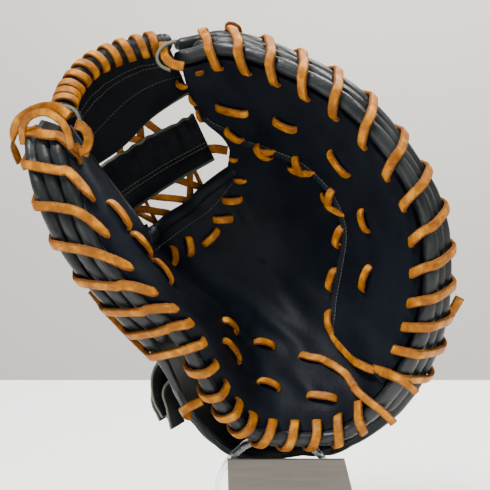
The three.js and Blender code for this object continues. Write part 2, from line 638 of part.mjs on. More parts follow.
// The cutter for the open web: its outline near the viewer, lofted to the one on the far side.
function notchCutter() {
  const [near, far] = [-1, 1.2];
  const front = NOTCH.map((p) => seen(p.across, p.up, near));
  const back = NOTCH.map((p) => seen(p.across + p.spread, p.up, far));
  return prism(front, back, NOTCH.map((p) => new THREE.Vector2(p.across, p.up)));
}

// The oval opening in the back, over the back of the hand.
function handHoleCutter() {
  const flat = Array.from({ length: HAND_HOLE.sides }, (_, k) => {
    const turn = (2 * Math.PI * k) / HAND_HOLE.sides;
    const across = HAND_HOLE.across + HAND_HOLE.halfWidth * Math.cos(turn);
    return new THREE.Vector2(across, HAND_HOLE.up + HAND_HOLE.halfHeight * Math.sin(turn));
  });
  const at = (deep) => flat.map((p) => seen(p.x, p.y, deep));
  return prism(at(0.46), at(1.2), flat);
}

// The leather that closes the stalls along the web's notch, between the palm and the back.
function stallWall() {
  const clearance = PALM_WALL / 2 + GAP + 3.2;
  const ends = WALL_LINE.map((p) => {
    const palm = find(palmAt, p.across, p.up);
    const back = find(backAt, p.across, p.up);
    const near = palmAt(palm.t, palm.s);
    const far = backAt(back.t, back.s);
    const away = far.clone().sub(near).normalize();
    return [near.addScaledVector(away, clearance), far.addScaledVector(away, -clearance)];
  });
  const side = (sign) =>
    ends.map(([near, far], i) => {
      const before = ends[Math.max(0, i - 1)][0];
      const along = ends[Math.min(ends.length - 1, i + 1)][0].clone().sub(before);
      const out = along.cross(far.clone().sub(near)).normalize();
      return range(0, 1, 3).map((v) => near.clone().lerp(far, v).addScaledVector(out, (sign * BACK_WALL) / 2));
    });
  return wall(side(1), side(-1));
}

// The rolls round the rim

const rimStop = (surface) => (t) => ({ at: surface(t, 0), across: frameOf(surface, t, 0.02).front });
const frontRollStop = rimStop(palmAt);
const backRollStop = rimStop(backAt);
function middleRollStop(t) {
  const front = frontRollStop(t);
  return { at: front.at.add(backAt(t, 0)).multiplyScalar(0.5), across: front.across };
}

function rimRoll(stopAt, { from, to, steps }, radiusOf = () => ROLL_RADIUS) {
  const rows = range(from, to, steps);
  return rod(rows.map(stopAt), (i) => radiusOf(rows[i]));
}

// The back roll thins where it becomes the edge of the hand opening.
function backRollRadius(t) {
  const into = THREE.MathUtils.smoothstep(t, HEEL_OPEN.start - 0.5, HEEL_OPEN.start + 0.5);
  const out = THREE.MathUtils.smoothstep(t, HEEL_OPEN.end - 0.5, HEEL_OPEN.end + 0.5);
  return THREE.MathUtils.lerp(ROLL_RADIUS, WRIST_ROLL_RADIUS, into - out);
}

// The laces

const laceLift = GAP + LACE_SEAT + LACE_WALL / 2;
const holeInset = ROLL_RADIUS + LACE_WALL + 3.6;
const overPalm = PALM_WALL / 2 + laceLift;
const overPanel = overPalm + GAP + PANEL_WALL;
const onPanel = (t, s) => t > 0 && t < FINGER_END && s < panelReach(t);

// Where the lace stands at a rim hole: in front of the palm, behind it, or behind the back.
function rimHole(t, side) {
  const [surface, grid] = side === "back" && !isHeel(t) ? [backAt, backGrid] : [palmAt, palmGrid];
  const frame = frameOf(grid.facets, t, inset(surface, t, holeInset));
  const lifts = {
    front: t > 0 && t < FINGER_END ? overPanel : overPalm,
    behind: -overPalm,
    back: isHeel(t) ? -overPalm : -(BACK_WALL / 2 + laceLift),
  };
  return { at: frame.at.clone().addScaledVector(frame.front, lifts[side]), across: frame.round };
}

// How far out from a roll's middle the middle of a lace lies on it.
const laceReach = ROLL_RADIUS + GAP + 2 * LACE_SEAT + LACE_WALL / 2;

// The turns of the lace's corners round one roll, from the hole's tangent to the outside. Side is 1 for
// the front and -1 for the back.
function cornerTurns(centre, hole, { backward, outward }, side) {
  const offset = hole.clone().sub(centre);
  const away = Math.hypot(offset.dot(backward), offset.dot(outward));
  const holeTurn = Math.atan2(offset.dot(outward), -side * offset.dot(backward));
  const startTurn = holeTurn + Math.acos(Math.min(1, laceReach / away));
  const endTurn = Math.PI / 2;
  const count = Math.max(1, Math.round((endTurn - startTurn) / 0.9));
  const step = (endTurn - startTurn) / count;
  return Array.from({ length: count }, (_, k) => ({
    side,
    turn: startTurn + step * (k + 0.5),
    radius: laceReach / Math.cos(step / 2),
  }));
}

// One turn of the rim lace, from the front hole at one row over the rolls to the back hole at the next.
function wrap(from, to) {
  const heel = isHeel((from + to) / 2);
  const plane = (share) => {
    const t = THREE.MathUtils.lerp(from, to, share);
    const { at: front, across: palmFront } = frontRollStop(t);
    const round = frameOf(palmAt, t, 0.02).round;
    const backward = heel ? palmFront.negate() : backAt(t, 0).sub(front);
    backward.addScaledVector(round, -backward.dot(round)).normalize();
    const outward = round.clone().cross(backward).normalize();
    const inward = PALM_MIDDLE.clone().sub(front);
    if (outward.dot(inward) > 0) outward.negate();
    return { front, back: heel ? front : backAt(t, 0), backward, outward, round };
  };
  const corner = ({ side, turn, radius }, share) => {
    const here = plane(share);
    const at = (side > 0 ? here.front : here.back).clone();
    at.addScaledVector(here.backward, -side * radius * Math.cos(turn));
    return { at: at.addScaledVector(here.outward, radius * Math.sin(turn)), across: here.round };
  };
  const frontHole = rimHole(from, "front").at;
  const backHole = rimHole(to, "back").at;
  const [near, far] = [plane(0.25), plane(0.75)];
  const corners = [
    ...cornerTurns(near.front, frontHole, near, 1),
    ...cornerTurns(far.back, backHole, far, -1).reverse(),
  ];
  const first = corners.map((each) => corner(each, 0.5).at);
  const steps = [frontHole, ...first, backHole].map((at, k, all) => (k > 0 ? at.distanceTo(all[k - 1]) : 0));
  const total = steps.reduce((sum, step) => sum + step, 0);
  let run = 0;
  return corners.map((each, k) => {
    run += steps[k + 1];
    return corner(each, run / total);
  });
}

// The rim lace over a run of holes: at each it comes through from the back, then goes over the rolls.
function rimLace(holes, end = null) {
  const stops = [];
  holes.forEach((t, i) => {
    if (i > 0) {
      stops.push(rimHole(t, "back"));
      if (!isHeel(t)) stops.push(rimHole(t, "behind"));
    }
    stops.push(rimHole(t, "front"));
    const next = holes[i + 1] ?? end;
    if (next !== null) stops.push(...wrap(t, next));
  });
  if (end !== null) stops.push(rimHole(end, "back"));
  return laced(stops);
}

// A stop of lace on the palm, in front of it or behind it, on its way along a course.
function palmStop({ t, s }, course, lift) {
  const frame = frameOf(palmGrid.facets, t, s);
  const across = frame.front.clone().cross(course).normalize();
  return { at: frame.at.addScaledVector(frame.front, lift), across };
}

// The place on the palm that is seen between two others.
function between(from, to, share) {
  const [fromAcross, fromUp] = sharesOf(palmAt(from.t, from.s));
  const [toAcross, toUp] = sharesOf(palmAt(to.t, to.s));
  return find(palmAt, fromAcross + (toAcross - fromAcross) * share, fromUp + (toUp - fromUp) * share);
}

// A lace that shows on the palm in runs, each from hole to hole, and passes behind it between them.
function palmLace(runs) {
  const stops = [];
  const height = ({ t, s }) => (onPanel(t, s - 0.02) ? overPanel : overPalm);
  const shares = (from, to) => {
    const length = palmAt(from.t, from.s).distanceTo(palmAt(to.t, to.s));
    const count = Math.max(2, Math.round(length / HIDDEN_STEP) + 1);
    return range(0, 1, count).slice(1, -1);
  };
  let last = null;
  runs.forEach((run) => {
    const places = run.map(([across, up]) => find(palmAt, across, up));
    const course = (from, to) => palmAt(to.t, to.s).sub(palmAt(from.t, from.s));
    if (last) {
      const way = course(last, places[0]);
      shares(last, places[0]).forEach((share) => {
        stops.push(palmStop(between(last, places[0], share), way, -overPalm - LACE_ARCH / 2));
      });
    }
    const way = places.slice(1).map((place, k) => course(places[k], place));
    stops.push(palmStop(places[0], way[0], -overPalm), palmStop(places[0], way[0], height(places[0])));
    way.forEach((along, k) => {
      const middle = between(places[k], places[k + 1], 0.5);
      const high = Math.max(height(middle), height(places[k]), height(places[k + 1]));
      stops.push(palmStop(middle, along, high + LACE_ARCH));
      stops.push(palmStop(places[k + 1], along, height(places[k + 1])));
    });
    last = places[places.length - 1];
    stops.push(palmStop(last, way[way.length - 1], -overPalm));
  });
  return laced(stops);
}

// A lace through stops placed by hand. Wide names the way its width faces where it isn't in the view.
function handLace(rows, width = LACE_WIDTH) {
  const points = rows.map((p) => seen(p.across, p.up, p.deep));
  const wides = {
    up: new THREE.Vector3(0, 0, 1),
    deep: new THREE.Vector3(0, 1, 0),
    turned: new THREE.Vector3(0.45, 0.77, 0.45),
    fold: new THREE.Vector3(-0.46, 0, 0.89),
  };
  const stops = points.map((at, i) => {
    const next = points[Math.min(points.length - 1, i + 1)];
    const along = next.clone().sub(points[Math.max(0, i - 1)]).normalize();
    return { at, across: wides[rows[i].wide] ?? along.cross(wides.deep).normalize() };
  });
  return strap(stops, width);
}

// The web

// A band's surface between a top edge and a low edge, bowed back in its middle; (0, 0) is top left.
function bandSurface(rows, start = 0) {
  const table = rows.map((r) => [r.topAcross, r.topUp, r.topDeep, r.lowAcross, r.lowUp, r.lowDeep]);
  return (u, v) => {
    const [ta, tu, td, la, lu, ld] = spline(table, u * (rows.length - 1));
    const share = THREE.MathUtils.lerp(start, 1, v);
    const bow = BAND_BULGE * 4 * v * (1 - v);
    const { lerp } = THREE.MathUtils;
    return seen(lerp(ta, la, share), lerp(tu, lu, share), lerp(td, ld, share) + bow);
  };
}
const topBandAt = bandSurface(TOP_BAND, BAND_FOLD);
const middleBandAt = bandSurface(MIDDLE_BAND);
const bandStops = range(0, 1, 9).map((u) => range(0, 1, 4).map((v) => [u, v]));

// The rolled upper edge of the web, and the lace wound round it.
function topRoll(share) {
  const rows = TOP_ROLL.map((p) => seen(p.across, p.up, p.deep).toArray());
  const last = rows.length - 1;
  const step = 0.01;
  const at = asPoint(spline(rows, share * last));
  const along = asPoint(spline(rows, (share + step) * last));
  along.sub(asPoint(spline(rows, (share - step) * last))).normalize();
  const side = new THREE.Vector3(0, 1, 0).cross(along).normalize();
  return { at, along, side, back: along.clone().cross(side).normalize() };
}

function topRollBody() {
  const stops = range(0, 1, 12).map((share) => ({ at: topRoll(share).at, across: topRoll(share).side }));
  return rod(stops, () => WEB_ROLL_RADIUS, 8);
}

function topLaceBody() {
  const perTurn = 7;
  const count = TOP_LACE_TURNS * perTurn;
  const radius = (WEB_ROLL_RADIUS + GAP + LACE_WALL / 2) / Math.cos(Math.PI / perTurn);
  const stops = range(0, 1, count + 1).map((share, k) => {
    const frame = topRoll(0.05 + 0.84 * share ** 1.2);
    const turn = (2 * Math.PI * k) / perTurn;
    const lift = frame.side.clone().multiplyScalar(Math.cos(turn)).addScaledVector(frame.back, Math.sin(turn));
    return { at: frame.at.addScaledVector(lift, radius), across: frame.along };
  });
  return strap(stops, LACE_WIDTH * 0.8);
}

// The lattice behind the bands: each stop lies just behind the band that it names, flat on it.
function webLace(rows) {
  const behind = BAND_WALL / 2 + laceLift;
  const places = rows.map((row) => {
    if (!row.on) return { at: seen(row.across, row.up, row.deep), front: new THREE.Vector3(0, -1, 0) };
    const surface = row.on === "top" ? topBandAt : middleBandAt;
    const { t, s } = find(surface, row.across, row.up, { t: 1, s: 1, grid: 0.1 });
    const { at, front } = frameOf(surface, t, Math.min(0.98, s));
    return { at: at.addScaledVector(front, -behind), front };
  });
  const stops = places.map(({ at, front }, i) => {
    const before = places[Math.max(0, i - 1)].at;
    const along = places[Math.min(places.length - 1, i + 1)].at.clone().sub(before).normalize();
    return { at, across: along.cross(front).normalize() };
  });
  return laced(stops);
}

// The wrist

// The strap across the back of the wrist, below the hand hole.
function wristStrap() {
  const inner = backGrid.columns.filter((t) => t > WRIST.from + 0.1 && t < WRIST.to - 0.1);
  const stops = [WRIST.from, ...inner, WRIST.to].map((t) => {
    const [low, high] = [0, STRAP_WIDTH].map((more) => inset(backAt, t, WRIST.inset + more));
    return range(low, high, 4).map((s) => [t, s]);
  });
  return layer(backGrid.facets, stops, STRAP_WALL, -(BACK_WALL / 2 + 4 * GAP + STRAP_WALL / 2));
}

// The strap's end, doubled back on itself beside the heel.
function wristTab() {
  const start = frameOf(backAt, TAB_START.t, TAB_START.s);
  const root = start.at.addScaledVector(start.front, -(BACK_WALL / 2 + 5 * GAP + STRAP_WALL));
  const points = [root, ...TAB_LINE.map((p) => seen(p.across, p.up, p.deep))];
  const across = new THREE.Vector3(0, 1, 0);
  return strap(points.map((at) => ({ at, across })), STRAP_WIDTH * 0.8, STRAP_WALL);
}

// The stand

// A flat board between two outlines in X and Z at two depths.
function board(outline, front, back) {
  const at = (y) => outline.map(([x, z]) => new THREE.Vector3(x, y, z));
  return prism(at(front), at(back), outline.map(([x, z]) => new THREE.Vector2(x, z)));
}

// The plate leans back: its outline is moved along Y by height.
function standPlate() {
  const foot = BASE_WALL + GAP;
  const corners = [
    { x: PLATE_FOOT.left, y: PLATE_FOOT.y, z: foot },
    { x: PLATE_FOOT.right, y: PLATE_FOOT.y, z: foot },
    { x: PLATE_TOP.right, y: PLATE_TOP.y, z: foot + PLATE_HEIGHT },
    { x: PLATE_TOP.left, y: PLATE_TOP.y, z: foot + PLATE_HEIGHT },
  ];
  const at = (shift) => corners.map((p) => new THREE.Vector3(p.x, p.y + shift, p.z));
  const flat = corners.map((p) => new THREE.Vector2(p.x, p.z));
  return prism(at(-PLATE_WALL / 2), at(PLATE_WALL / 2), flat);
}

// The clear loop is an egg-shaped band, widest at its shoulder, standing on the base.
function standLoop() {
  const foot = BASE_WALL + GAP;
  const sides = 28;
  const rest = backAt(LOOP_REST_ROW, 0);
  const top = rest.z + LOOP_RISE;
  const shoulder = foot + (top - foot) * LOOP_SHOULDER;
  const restTurn = Math.asin((rest.z - shoulder) / (top - shoulder));
  const halfWidth = (LOOP_X - rest.x + LOOP_REACH) / Math.cos(restTurn);
  const outline = (inset) =>
    Array.from({ length: sides }, (_, k) => {
      const turn = (2 * Math.PI * (k + 0.5)) / sides;
      const reach = Math.sin(turn) > 0 ? top - shoulder : shoulder - foot;
      const narrow = Math.sin(turn) > 0 ? 1 : 1 - 0.25 * Math.sin(turn) ** 2;
      const x = LOOP_X + (halfWidth * narrow - inset) * Math.cos(turn);
      return [x, shoulder + (reach - inset) * Math.sin(turn)];
    });
  const outer = board(outline(0), LOOP_FRONT, LOOP_BACK);
  return outer.subtract(board(outline(LOOP_WALL), LOOP_FRONT - 5, LOOP_BACK + 5));
}

// The base is a plate with rounded corners.
function standBase() {
  const corners = [
    [1, 1],
    [-1, 1],
    [-1, -1],
    [1, -1],
  ];
  const middle = (BASE_FRONT + BASE_BACK) / 2;
  const halfWidth = BASE_WIDTH / 2 - BASE_CORNER;
  const halfDepth = (BASE_BACK - BASE_FRONT) / 2 - BASE_CORNER;
  const outline = corners.flatMap(([x, y], quarter) =>
    range(0, 1, 5).map((share) => {
      const turn = ((quarter + share) * Math.PI) / 2;
      const across = STAND_X + x * halfWidth + BASE_CORNER * Math.cos(turn);
      return new THREE.Vector2(across, middle + y * halfDepth + BASE_CORNER * Math.sin(turn));
    }),
  );
  const at = (z) => outline.map((p) => new THREE.Vector3(p.x, p.y, z));
  return prism(at(BASE_WALL), at(0), outline);
}

// One side of the back, which is sewn along a straight seam from the crotch to the heel.
function sideOfSeam(body, side) {
  const crotch = seen(...BACK_SEAM.crotch);
  const heel = seen(...BACK_SEAM.heel);
  const across = crotch.clone().sub(heel).cross(new THREE.Vector3(0, -1, 0));
  const normal = across.normalize().multiplyScalar(side);
  return body.trimByPlane(normal.toArray(), normal.dot(heel) + GAP / 2);
}

const group = new THREE.Group();
const MATERIAL = {
  palm: new THREE.MeshStandardMaterial({ name: "palm leather", color: 0x15181f, roughness: 0.6 }),
  shell: new THREE.MeshStandardMaterial({ name: "shell leather", color: 0x1b1f24, roughness: 0.5 }),
  roll: new THREE.MeshStandardMaterial({ name: "roll leather", color: 0x23282e, roughness: 0.4 }),
  web: new THREE.MeshStandardMaterial({ name: "web leather", color: 0x17191d, roughness: 0.75 }),
  lace: new THREE.MeshStandardMaterial({ name: "lace", color: 0xc8853a, roughness: 0.65 }),
  plate: new THREE.MeshStandardMaterial({ name: "stand plate", color: 0x8c847d, roughness: 0.35 }),
  clear: new THREE.MeshStandardMaterial({
    name: "clear acrylic",
    color: 0xdde6ee,
    roughness: 0.08,
    transparent: true,
    opacity: 0.4,
  }),
};

function add(name, body, material) {
  const { vertProperties, triVerts } = body.getMesh();
  const geometry = new THREE.BufferGeometry()
    .setAttribute("position", new THREE.BufferAttribute(vertProperties, 3))
    .setIndex(new THREE.BufferAttribute(triVerts, 1));
  const mesh = new THREE.Mesh(geometry, material);
  mesh.name = name;
  group.add(mesh);
}

const fingerRimLace = rimLace([...FINGER_HOLES].reverse());
const thumbRimLace = rimLace(THUMB_HOLES, THUMB_LACE_END);
const palmLaces = Object.entries(PALM_RUNS).map(([name, runs]) => ({ name, ...palmLace(runs) }));
const rimWays = [fingerRimLace.way, thumbRimLace.way];
const palmWays = [...rimWays, ...palmLaces.map((made) => made.way)];
const upperWebLace = webLace(UPPER_WEB_LACE);
const lowerWebLace = webLace(LOWER_WEB_LACE);
const webWays = [upperWebLace.way, lowerWebLace.way];
const notch = notchCutter();
const pocket = disc(palmAt, PALM_WALL, palmGrid);
const back = disc(backAt, BACK_WALL, backGrid);

add("pocket_shell", cut(pocket, [notch, ...palmWays]), MATERIAL.palm);
add("finger_panel", cut(fingerPanel(), [notch, ...palmWays]), MATERIAL.palm);
const wholeBack = cut(back, [notch, handHoleCutter(), ...rimWays]);
add("back_shell_fingers", sideOfSeam(wholeBack, 1), MATERIAL.shell);
add("back_shell_thumb", sideOfSeam(wholeBack, -1), MATERIAL.shell);
add("stall_wall", stallWall(), MATERIAL.shell);
add("rim_roll_front", cut(rimRoll(frontRollStop, ROLLS.front), rimWays), MATERIAL.roll);
add("rim_roll_middle_fingers", rimRoll(middleRollStop, ROLLS.middleFingers), MATERIAL.roll);
add("rim_roll_middle_thumb", cut(rimRoll(middleRollStop, ROLLS.middleThumb), rimWays), MATERIAL.roll);
add("rim_roll_back", cut(rimRoll(backRollStop, ROLLS.back, backRollRadius), rimWays), MATERIAL.roll);
add("rim_lace_fingers", fingerRimLace.body, MATERIAL.lace);
add("rim_lace_thumb", thumbRimLace.body, MATERIAL.lace);
palmLaces.forEach(({ name, body }) => add(name, body, MATERIAL.lace));
add("web_top_band", cut(layer(topBandAt, bandStops, BAND_WALL), webWays), MATERIAL.web);
add("web_middle_band", cut(layer(middleBandAt, bandStops, BAND_WALL), webWays), MATERIAL.web);
add("web_top_roll", topRollBody(), MATERIAL.web);
add("web_top_lace", topLaceBody(), MATERIAL.lace);
add("web_lace_upper", upperWebLace.body, MATERIAL.lace);
add("web_lace_lower", lowerWebLace.body, MATERIAL.lace);
Object.entries(HAND_LACES).forEach(([name, rows]) => add(name, handLace(rows), MATERIAL.lace));
add("wrist_strap", wristStrap(), MATERIAL.shell);
add("wrist_tab", wristTab(), MATERIAL.shell);
add("stand_base", standBase(), MATERIAL.clear);
add("stand_loop", standLoop(), MATERIAL.clear);
add("stand_plate", standPlate(), MATERIAL.plate);

export default group;
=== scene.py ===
# A first baseman mitt on its display stand: grained leather, rolled rims and tan rawhide laces.
# Lengths in the tables are shares of the mitt's size or millimetres. Meshes are made in metres.
import math

import bmesh
import bpy
import numpy as np
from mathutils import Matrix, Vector


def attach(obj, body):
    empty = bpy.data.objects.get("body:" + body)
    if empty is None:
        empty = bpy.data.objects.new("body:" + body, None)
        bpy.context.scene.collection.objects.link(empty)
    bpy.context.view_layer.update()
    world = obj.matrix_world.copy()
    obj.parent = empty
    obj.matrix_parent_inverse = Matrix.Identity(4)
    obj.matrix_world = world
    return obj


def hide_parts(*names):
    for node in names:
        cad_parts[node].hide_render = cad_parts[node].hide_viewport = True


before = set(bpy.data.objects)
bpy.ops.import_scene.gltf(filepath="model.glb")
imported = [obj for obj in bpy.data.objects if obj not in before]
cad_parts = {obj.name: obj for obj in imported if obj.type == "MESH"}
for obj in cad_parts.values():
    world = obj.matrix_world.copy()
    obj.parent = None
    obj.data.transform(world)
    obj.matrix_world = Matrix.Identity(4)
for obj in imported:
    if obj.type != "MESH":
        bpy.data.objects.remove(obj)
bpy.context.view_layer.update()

# Sizes
MM = 0.001
SPAN = 306.0
DEPTH = 120.0
MIDDLE_HEIGHT = 225.0
EYE_DISTANCE = 850.0
EYE_TILT = math.radians(6)
PALM_WALL = 4.0
PANEL_WALL = 3.5
BACK_WALL = 3.0
BAND_WALL = 3.0
STRAP_WALL = 3.0
STRAP_WIDTH = 28.0
ROLL_RADIUS = 4.8
WRIST_ROLL_RADIUS = 3.2
WEB_ROLL_RADIUS = 6.2
LACE_WALL = 2.2
VISIBLE_LACE = 6.2
GAP = 0.35
LACE_SEAT = 0.25
LACE_ARCH = 1.2
BREAK_FOLD = 9.0
PIPING_RADIUS = 1.7
HOLE_DIMPLE = 0.9
# How far the panel's sewn channel lies from its inner border.
CHANNEL = 6.5

# The rim, clockwise from the finger tip: across, up, deep of the front roll, then of the back roll.
RIM = [
    ("web", -0.144, 0.418, -0.1, -0.144, 0.446, 0.07),
    ("finger", -0.04, 0.436, -0.23, -0.036, 0.46, -0.065),
    ("finger", 0.089, 0.396, -0.35, 0.104, 0.416, -0.21),
    ("finger", 0.222, 0.32, -0.45, 0.244, 0.336, -0.31),
    ("finger", 0.333, 0.198, -0.52, 0.357, 0.208, -0.38),
    ("finger", 0.402, 0.067, -0.55, 0.429, 0.069, -0.41),
    ("finger", 0.413, -0.091, -0.53, 0.441, -0.094, -0.39),
    ("finger", 0.384, -0.224, -0.47, 0.413, -0.236, -0.33),
    ("heel", 0.313, -0.338, -0.37, 0.333, -0.362, -0.22),
    ("heel", 0.222, -0.416, -0.3, 0.209, -0.45, 0.05),
    ("heel", 0.122, -0.431, -0.28, 0.118, -0.46, 0.15),
    ("heel", 0.018, -0.418, -0.32, -0.011, -0.467, 0.13),
    ("base", -0.058, -0.349, -0.4, -0.112, -0.387, -0.2),
    ("ball", -0.144, -0.207, -0.53, -0.193, -0.238, -0.44),
    ("thumb", -0.242, -0.116, -0.62, -0.296, -0.129, -0.525),
    ("thumb", -0.327, -0.016, -0.65, -0.384, -0.024, -0.56),
    ("thumb", -0.384, 0.111, -0.62, -0.446, 0.1, -0.57),
    ("tip", -0.42, 0.238, -0.52, -0.473, 0.233, -0.42),
    ("web", -0.407, 0.322, -0.36, -0.43, 0.32, -0.24),
    ("web", -0.333, 0.407, -0.2, -0.34, 0.42, -0.08),
    ("web", -0.222, 0.444, -0.1, -0.22, 0.46, 0.0),
]
POCKET_ACROSS = 0.038
POCKET_UP = -0.038
POCKET_DEEP = 0.375
BACK_DEEP = 0.66
# How the leather runs inwards: lip in, lip deep, wall in, wall deep, floor in, floor deep.
PALM_PROFILE = {
    "finger": (0.22, 0.33, 0.46, 0.66, 0.74, 0.93),
    "heel": (0.2, 0.16, 0.42, 0.55, 0.72, 0.92),
    "base": (0.22, 0.12, 0.41, 0.48, 0.64, 0.89),
    "ball": (0.24, 0.07, 0.36, 0.42, 0.45, 0.85),
    "thumb": (0.23, 0.04, 0.325, 0.38, 0.325, 0.84),
    "tip": (0.13, 0.05, 0.19, 0.42, 0.27, 0.8),
    "web": (0.2, 0.34, 0.45, 0.68, 0.74, 0.93),
}
BACK_PROFILE = {
    "finger": (0.08, 0.36, 0.26, 0.73, 0.58, 0.96),
    "heel": (0.11, 0.36, 0.32, 0.72, 0.62, 0.95),
    "base": (0.1, 0.38, 0.3, 0.74, 0.6, 0.96),
    "ball": (0.07, 0.4, 0.24, 0.76, 0.55, 0.97),
    "thumb": (0.06, 0.4, 0.22, 0.77, 0.54, 0.97),
    "tip": (0.06, 0.38, 0.22, 0.74, 0.54, 0.96),
    "web": (0.1, 0.36, 0.3, 0.73, 0.6, 0.96),
}
BREAK_ROW = 8
FINGER_END = 7.82
HEEL_START = 8.45
HEEL_END = 12.95
PANEL_REACH = [0.34, 0.45, 0.45, 0.43, 0.43, 0.48, 0.53, 0.53, 0.5]
FINGER_HOLES = [0.42, 0.85, 1.42, 1.94, 2.47, 3.02, 3.61, 4.2, 4.77, 5.36, 5.82, 6.31, 6.76, 7.22, 7.66]
THUMB_HOLES = [8.42, 8.95, 9.5, 10.05, 10.57, 11.1, 11.6, 12.05, 12.4, 12.77, 13.17, 13.62]
THUMB_HOLES += [14.13, 14.79, 15.48, 16.15, 16.8]
THUMB_LACE_END = 17.3
WRIST_FROM = 8.9
WRIST_TO = 12.75
WRIST_INSET = 20.0

# The open web: across, up, and how far its far side is moved across.
NOTCH = [
    (-0.142, 0.5, 0),
    (-0.14, 0.4, 0),
    (-0.12, 0.331, 0),
    (-0.093, 0.282, 0),
    (-0.05, 0.245, 0),
    (-0.03, 0.215, 0),
    (-0.034, 0.174, 0),
    (-0.096, 0.128, 0),
    (-0.13, 0.094, 0),
    (-0.176, 0.064, 0),
    (-0.22, 0.026, -0.02),
    (-0.25, 0.073, -0.036),
    (-0.298, 0.136, -0.036),
    (-0.345, 0.198, -0.03),
    (-0.39, 0.262, -0.02),
    (-0.52, 0.3, 0),
    (-0.5, 0.52, 0),
]
HAND_HOLE = {"across": 0.05, "up": -0.2, "half_width": 0.12, "half_height": 0.062}
WALL_LINE = [
    (-0.128, 0.375),
    (-0.111, 0.329),
    (-0.084, 0.28),
    (-0.041, 0.243),
    (-0.021, 0.212),
    (-0.022, 0.156),
    (-0.08, 0.106),
    (-0.114, 0.07),
    (-0.164, 0.039),
]

# How far along the rim the palm is averaged, and each place's weight.
PALM_SOFTENING = [(-0.9, 0.12), (-0.6, 0.14), (-0.3, 0.16), (0, 0.16)]
PALM_SOFTENING += [(0.3, 0.16), (0.6, 0.14), (0.9, 0.12)]

# The laces on the palm in runs, each from hole to hole.
PALM_RUNS = {
    "finger_lace": [
        [(-0.058, 0.318), (0.012, 0.304)],
        [(0.072, 0.29), (0.122, 0.268)],
        [(0.2, 0.218), (0.243, 0.162)],
        [(0.272, 0.086), (0.288, 0.034)],
        [(0.292, -0.046), (0.276, -0.1)],
    ],
    "border_lace": [
        [(-0.036, 0.267), (0.0, 0.243)],
        [(0.032, 0.232), (0.06, 0.196)],
        [(0.12, 0.206), (0.14, 0.164)],
        [(0.205, 0.13), (0.196, 0.08)],
        [(0.227, 0.045), (0.216, 0.0)],
        [(0.213, -0.054), (0.2, -0.1)],
    ],
    "palm_lace": [
        [(-0.05, 0.1), (-0.008, 0.104)],
        [(-0.03, 0.06), (-0.07, 0.058)],
        [(-0.06, 0.034), (-0.092, 0.0)],
        [(-0.128, 0.016), (-0.124, -0.024)],
        [(-0.162, -0.046), (-0.166, -0.006)],
    ],
    "heel_lace": [
        [(-0.052, -0.17), (-0.024, -0.196)],
        [(-0.052, -0.214), (-0.018, -0.262)],
        [(0.02, -0.218), (0.064, -0.23)],
        [(0.028, -0.306), (0.076, -0.324)],
        [(0.14, -0.338), (0.204, -0.342)],
    ],
    "break_lace_finger": [[(0.198, -0.15), (0.205, -0.206), (0.245, -0.254), (0.298, -0.28)]],
    "break_lace_heel": [[(0.124, -0.249), (0.178, -0.26), (0.228, -0.292), (0.26, -0.334)]],
    "thumb_edge_lace": [
        [(-0.307, 0.094), (-0.262, 0.033)],
        [(-0.256, 0.024), (-0.215, -0.029)],
        [(-0.209, -0.036), (-0.168, -0.089)],
    ],
}

# The web's bands: top across, up, deep, then low across, up, deep.
TOP_BAND = [
    (-0.4, 0.27, -0.3, -0.338, 0.172, -0.04),
    (-0.37, 0.345, -0.22, -0.273, 0.216, 0.06),
    (-0.31, 0.393, -0.12, -0.211, 0.278, 0.08),
    (-0.24, 0.42, -0.06, -0.164, 0.313, 0.06),
    (-0.162, 0.425, -0.03, -0.125, 0.338, 0.02),
]
MIDDLE_BAND = [
    (-0.343, 0.16, 0.04, -0.27, 0.064, 0.07),
    (-0.225, 0.233, 0.15, -0.165, 0.135, 0.18),
    (-0.113, 0.289, 0.14, -0.068, 0.191, 0.18),
]
TOP_ROLL = [
    (-0.404, 0.298, -0.42),
    (-0.391, 0.34, -0.33),
    (-0.352, 0.391, -0.24),
    (-0.29, 0.425, -0.15),
    (-0.222, 0.444, -0.1),
    (-0.178, 0.449, -0.08),
]
TOP_LACE_TURNS = 10
BAND_BULGE = 0.06
BAND_TUCK = -0.07
UPPER_WEB_LACE = [
    ("middle", -0.174, 0.234, 0),
    ("top", -0.235, 0.285, 0),
    ("", -0.229, 0.205, 0.255),
    ("", -0.196, 0.222, 0.255),
    ("top", -0.282, 0.245, 0),
    ("middle", -0.266, 0.174, 0),
]
LOWER_WEB_LACE = [
    ("middle", -0.17, 0.155, 0),
    ("", -0.093, 0.126, 0.341),
    ("middle", -0.124, 0.186, 0),
    ("", -0.123, 0.099, 0.356),
    ("middle", -0.228, 0.115, 0),
    ("", -0.198, 0.051, 0.347),
    ("middle", -0.262, 0.09, 0),
    ("", -0.168, 0.07, 0.328),
]

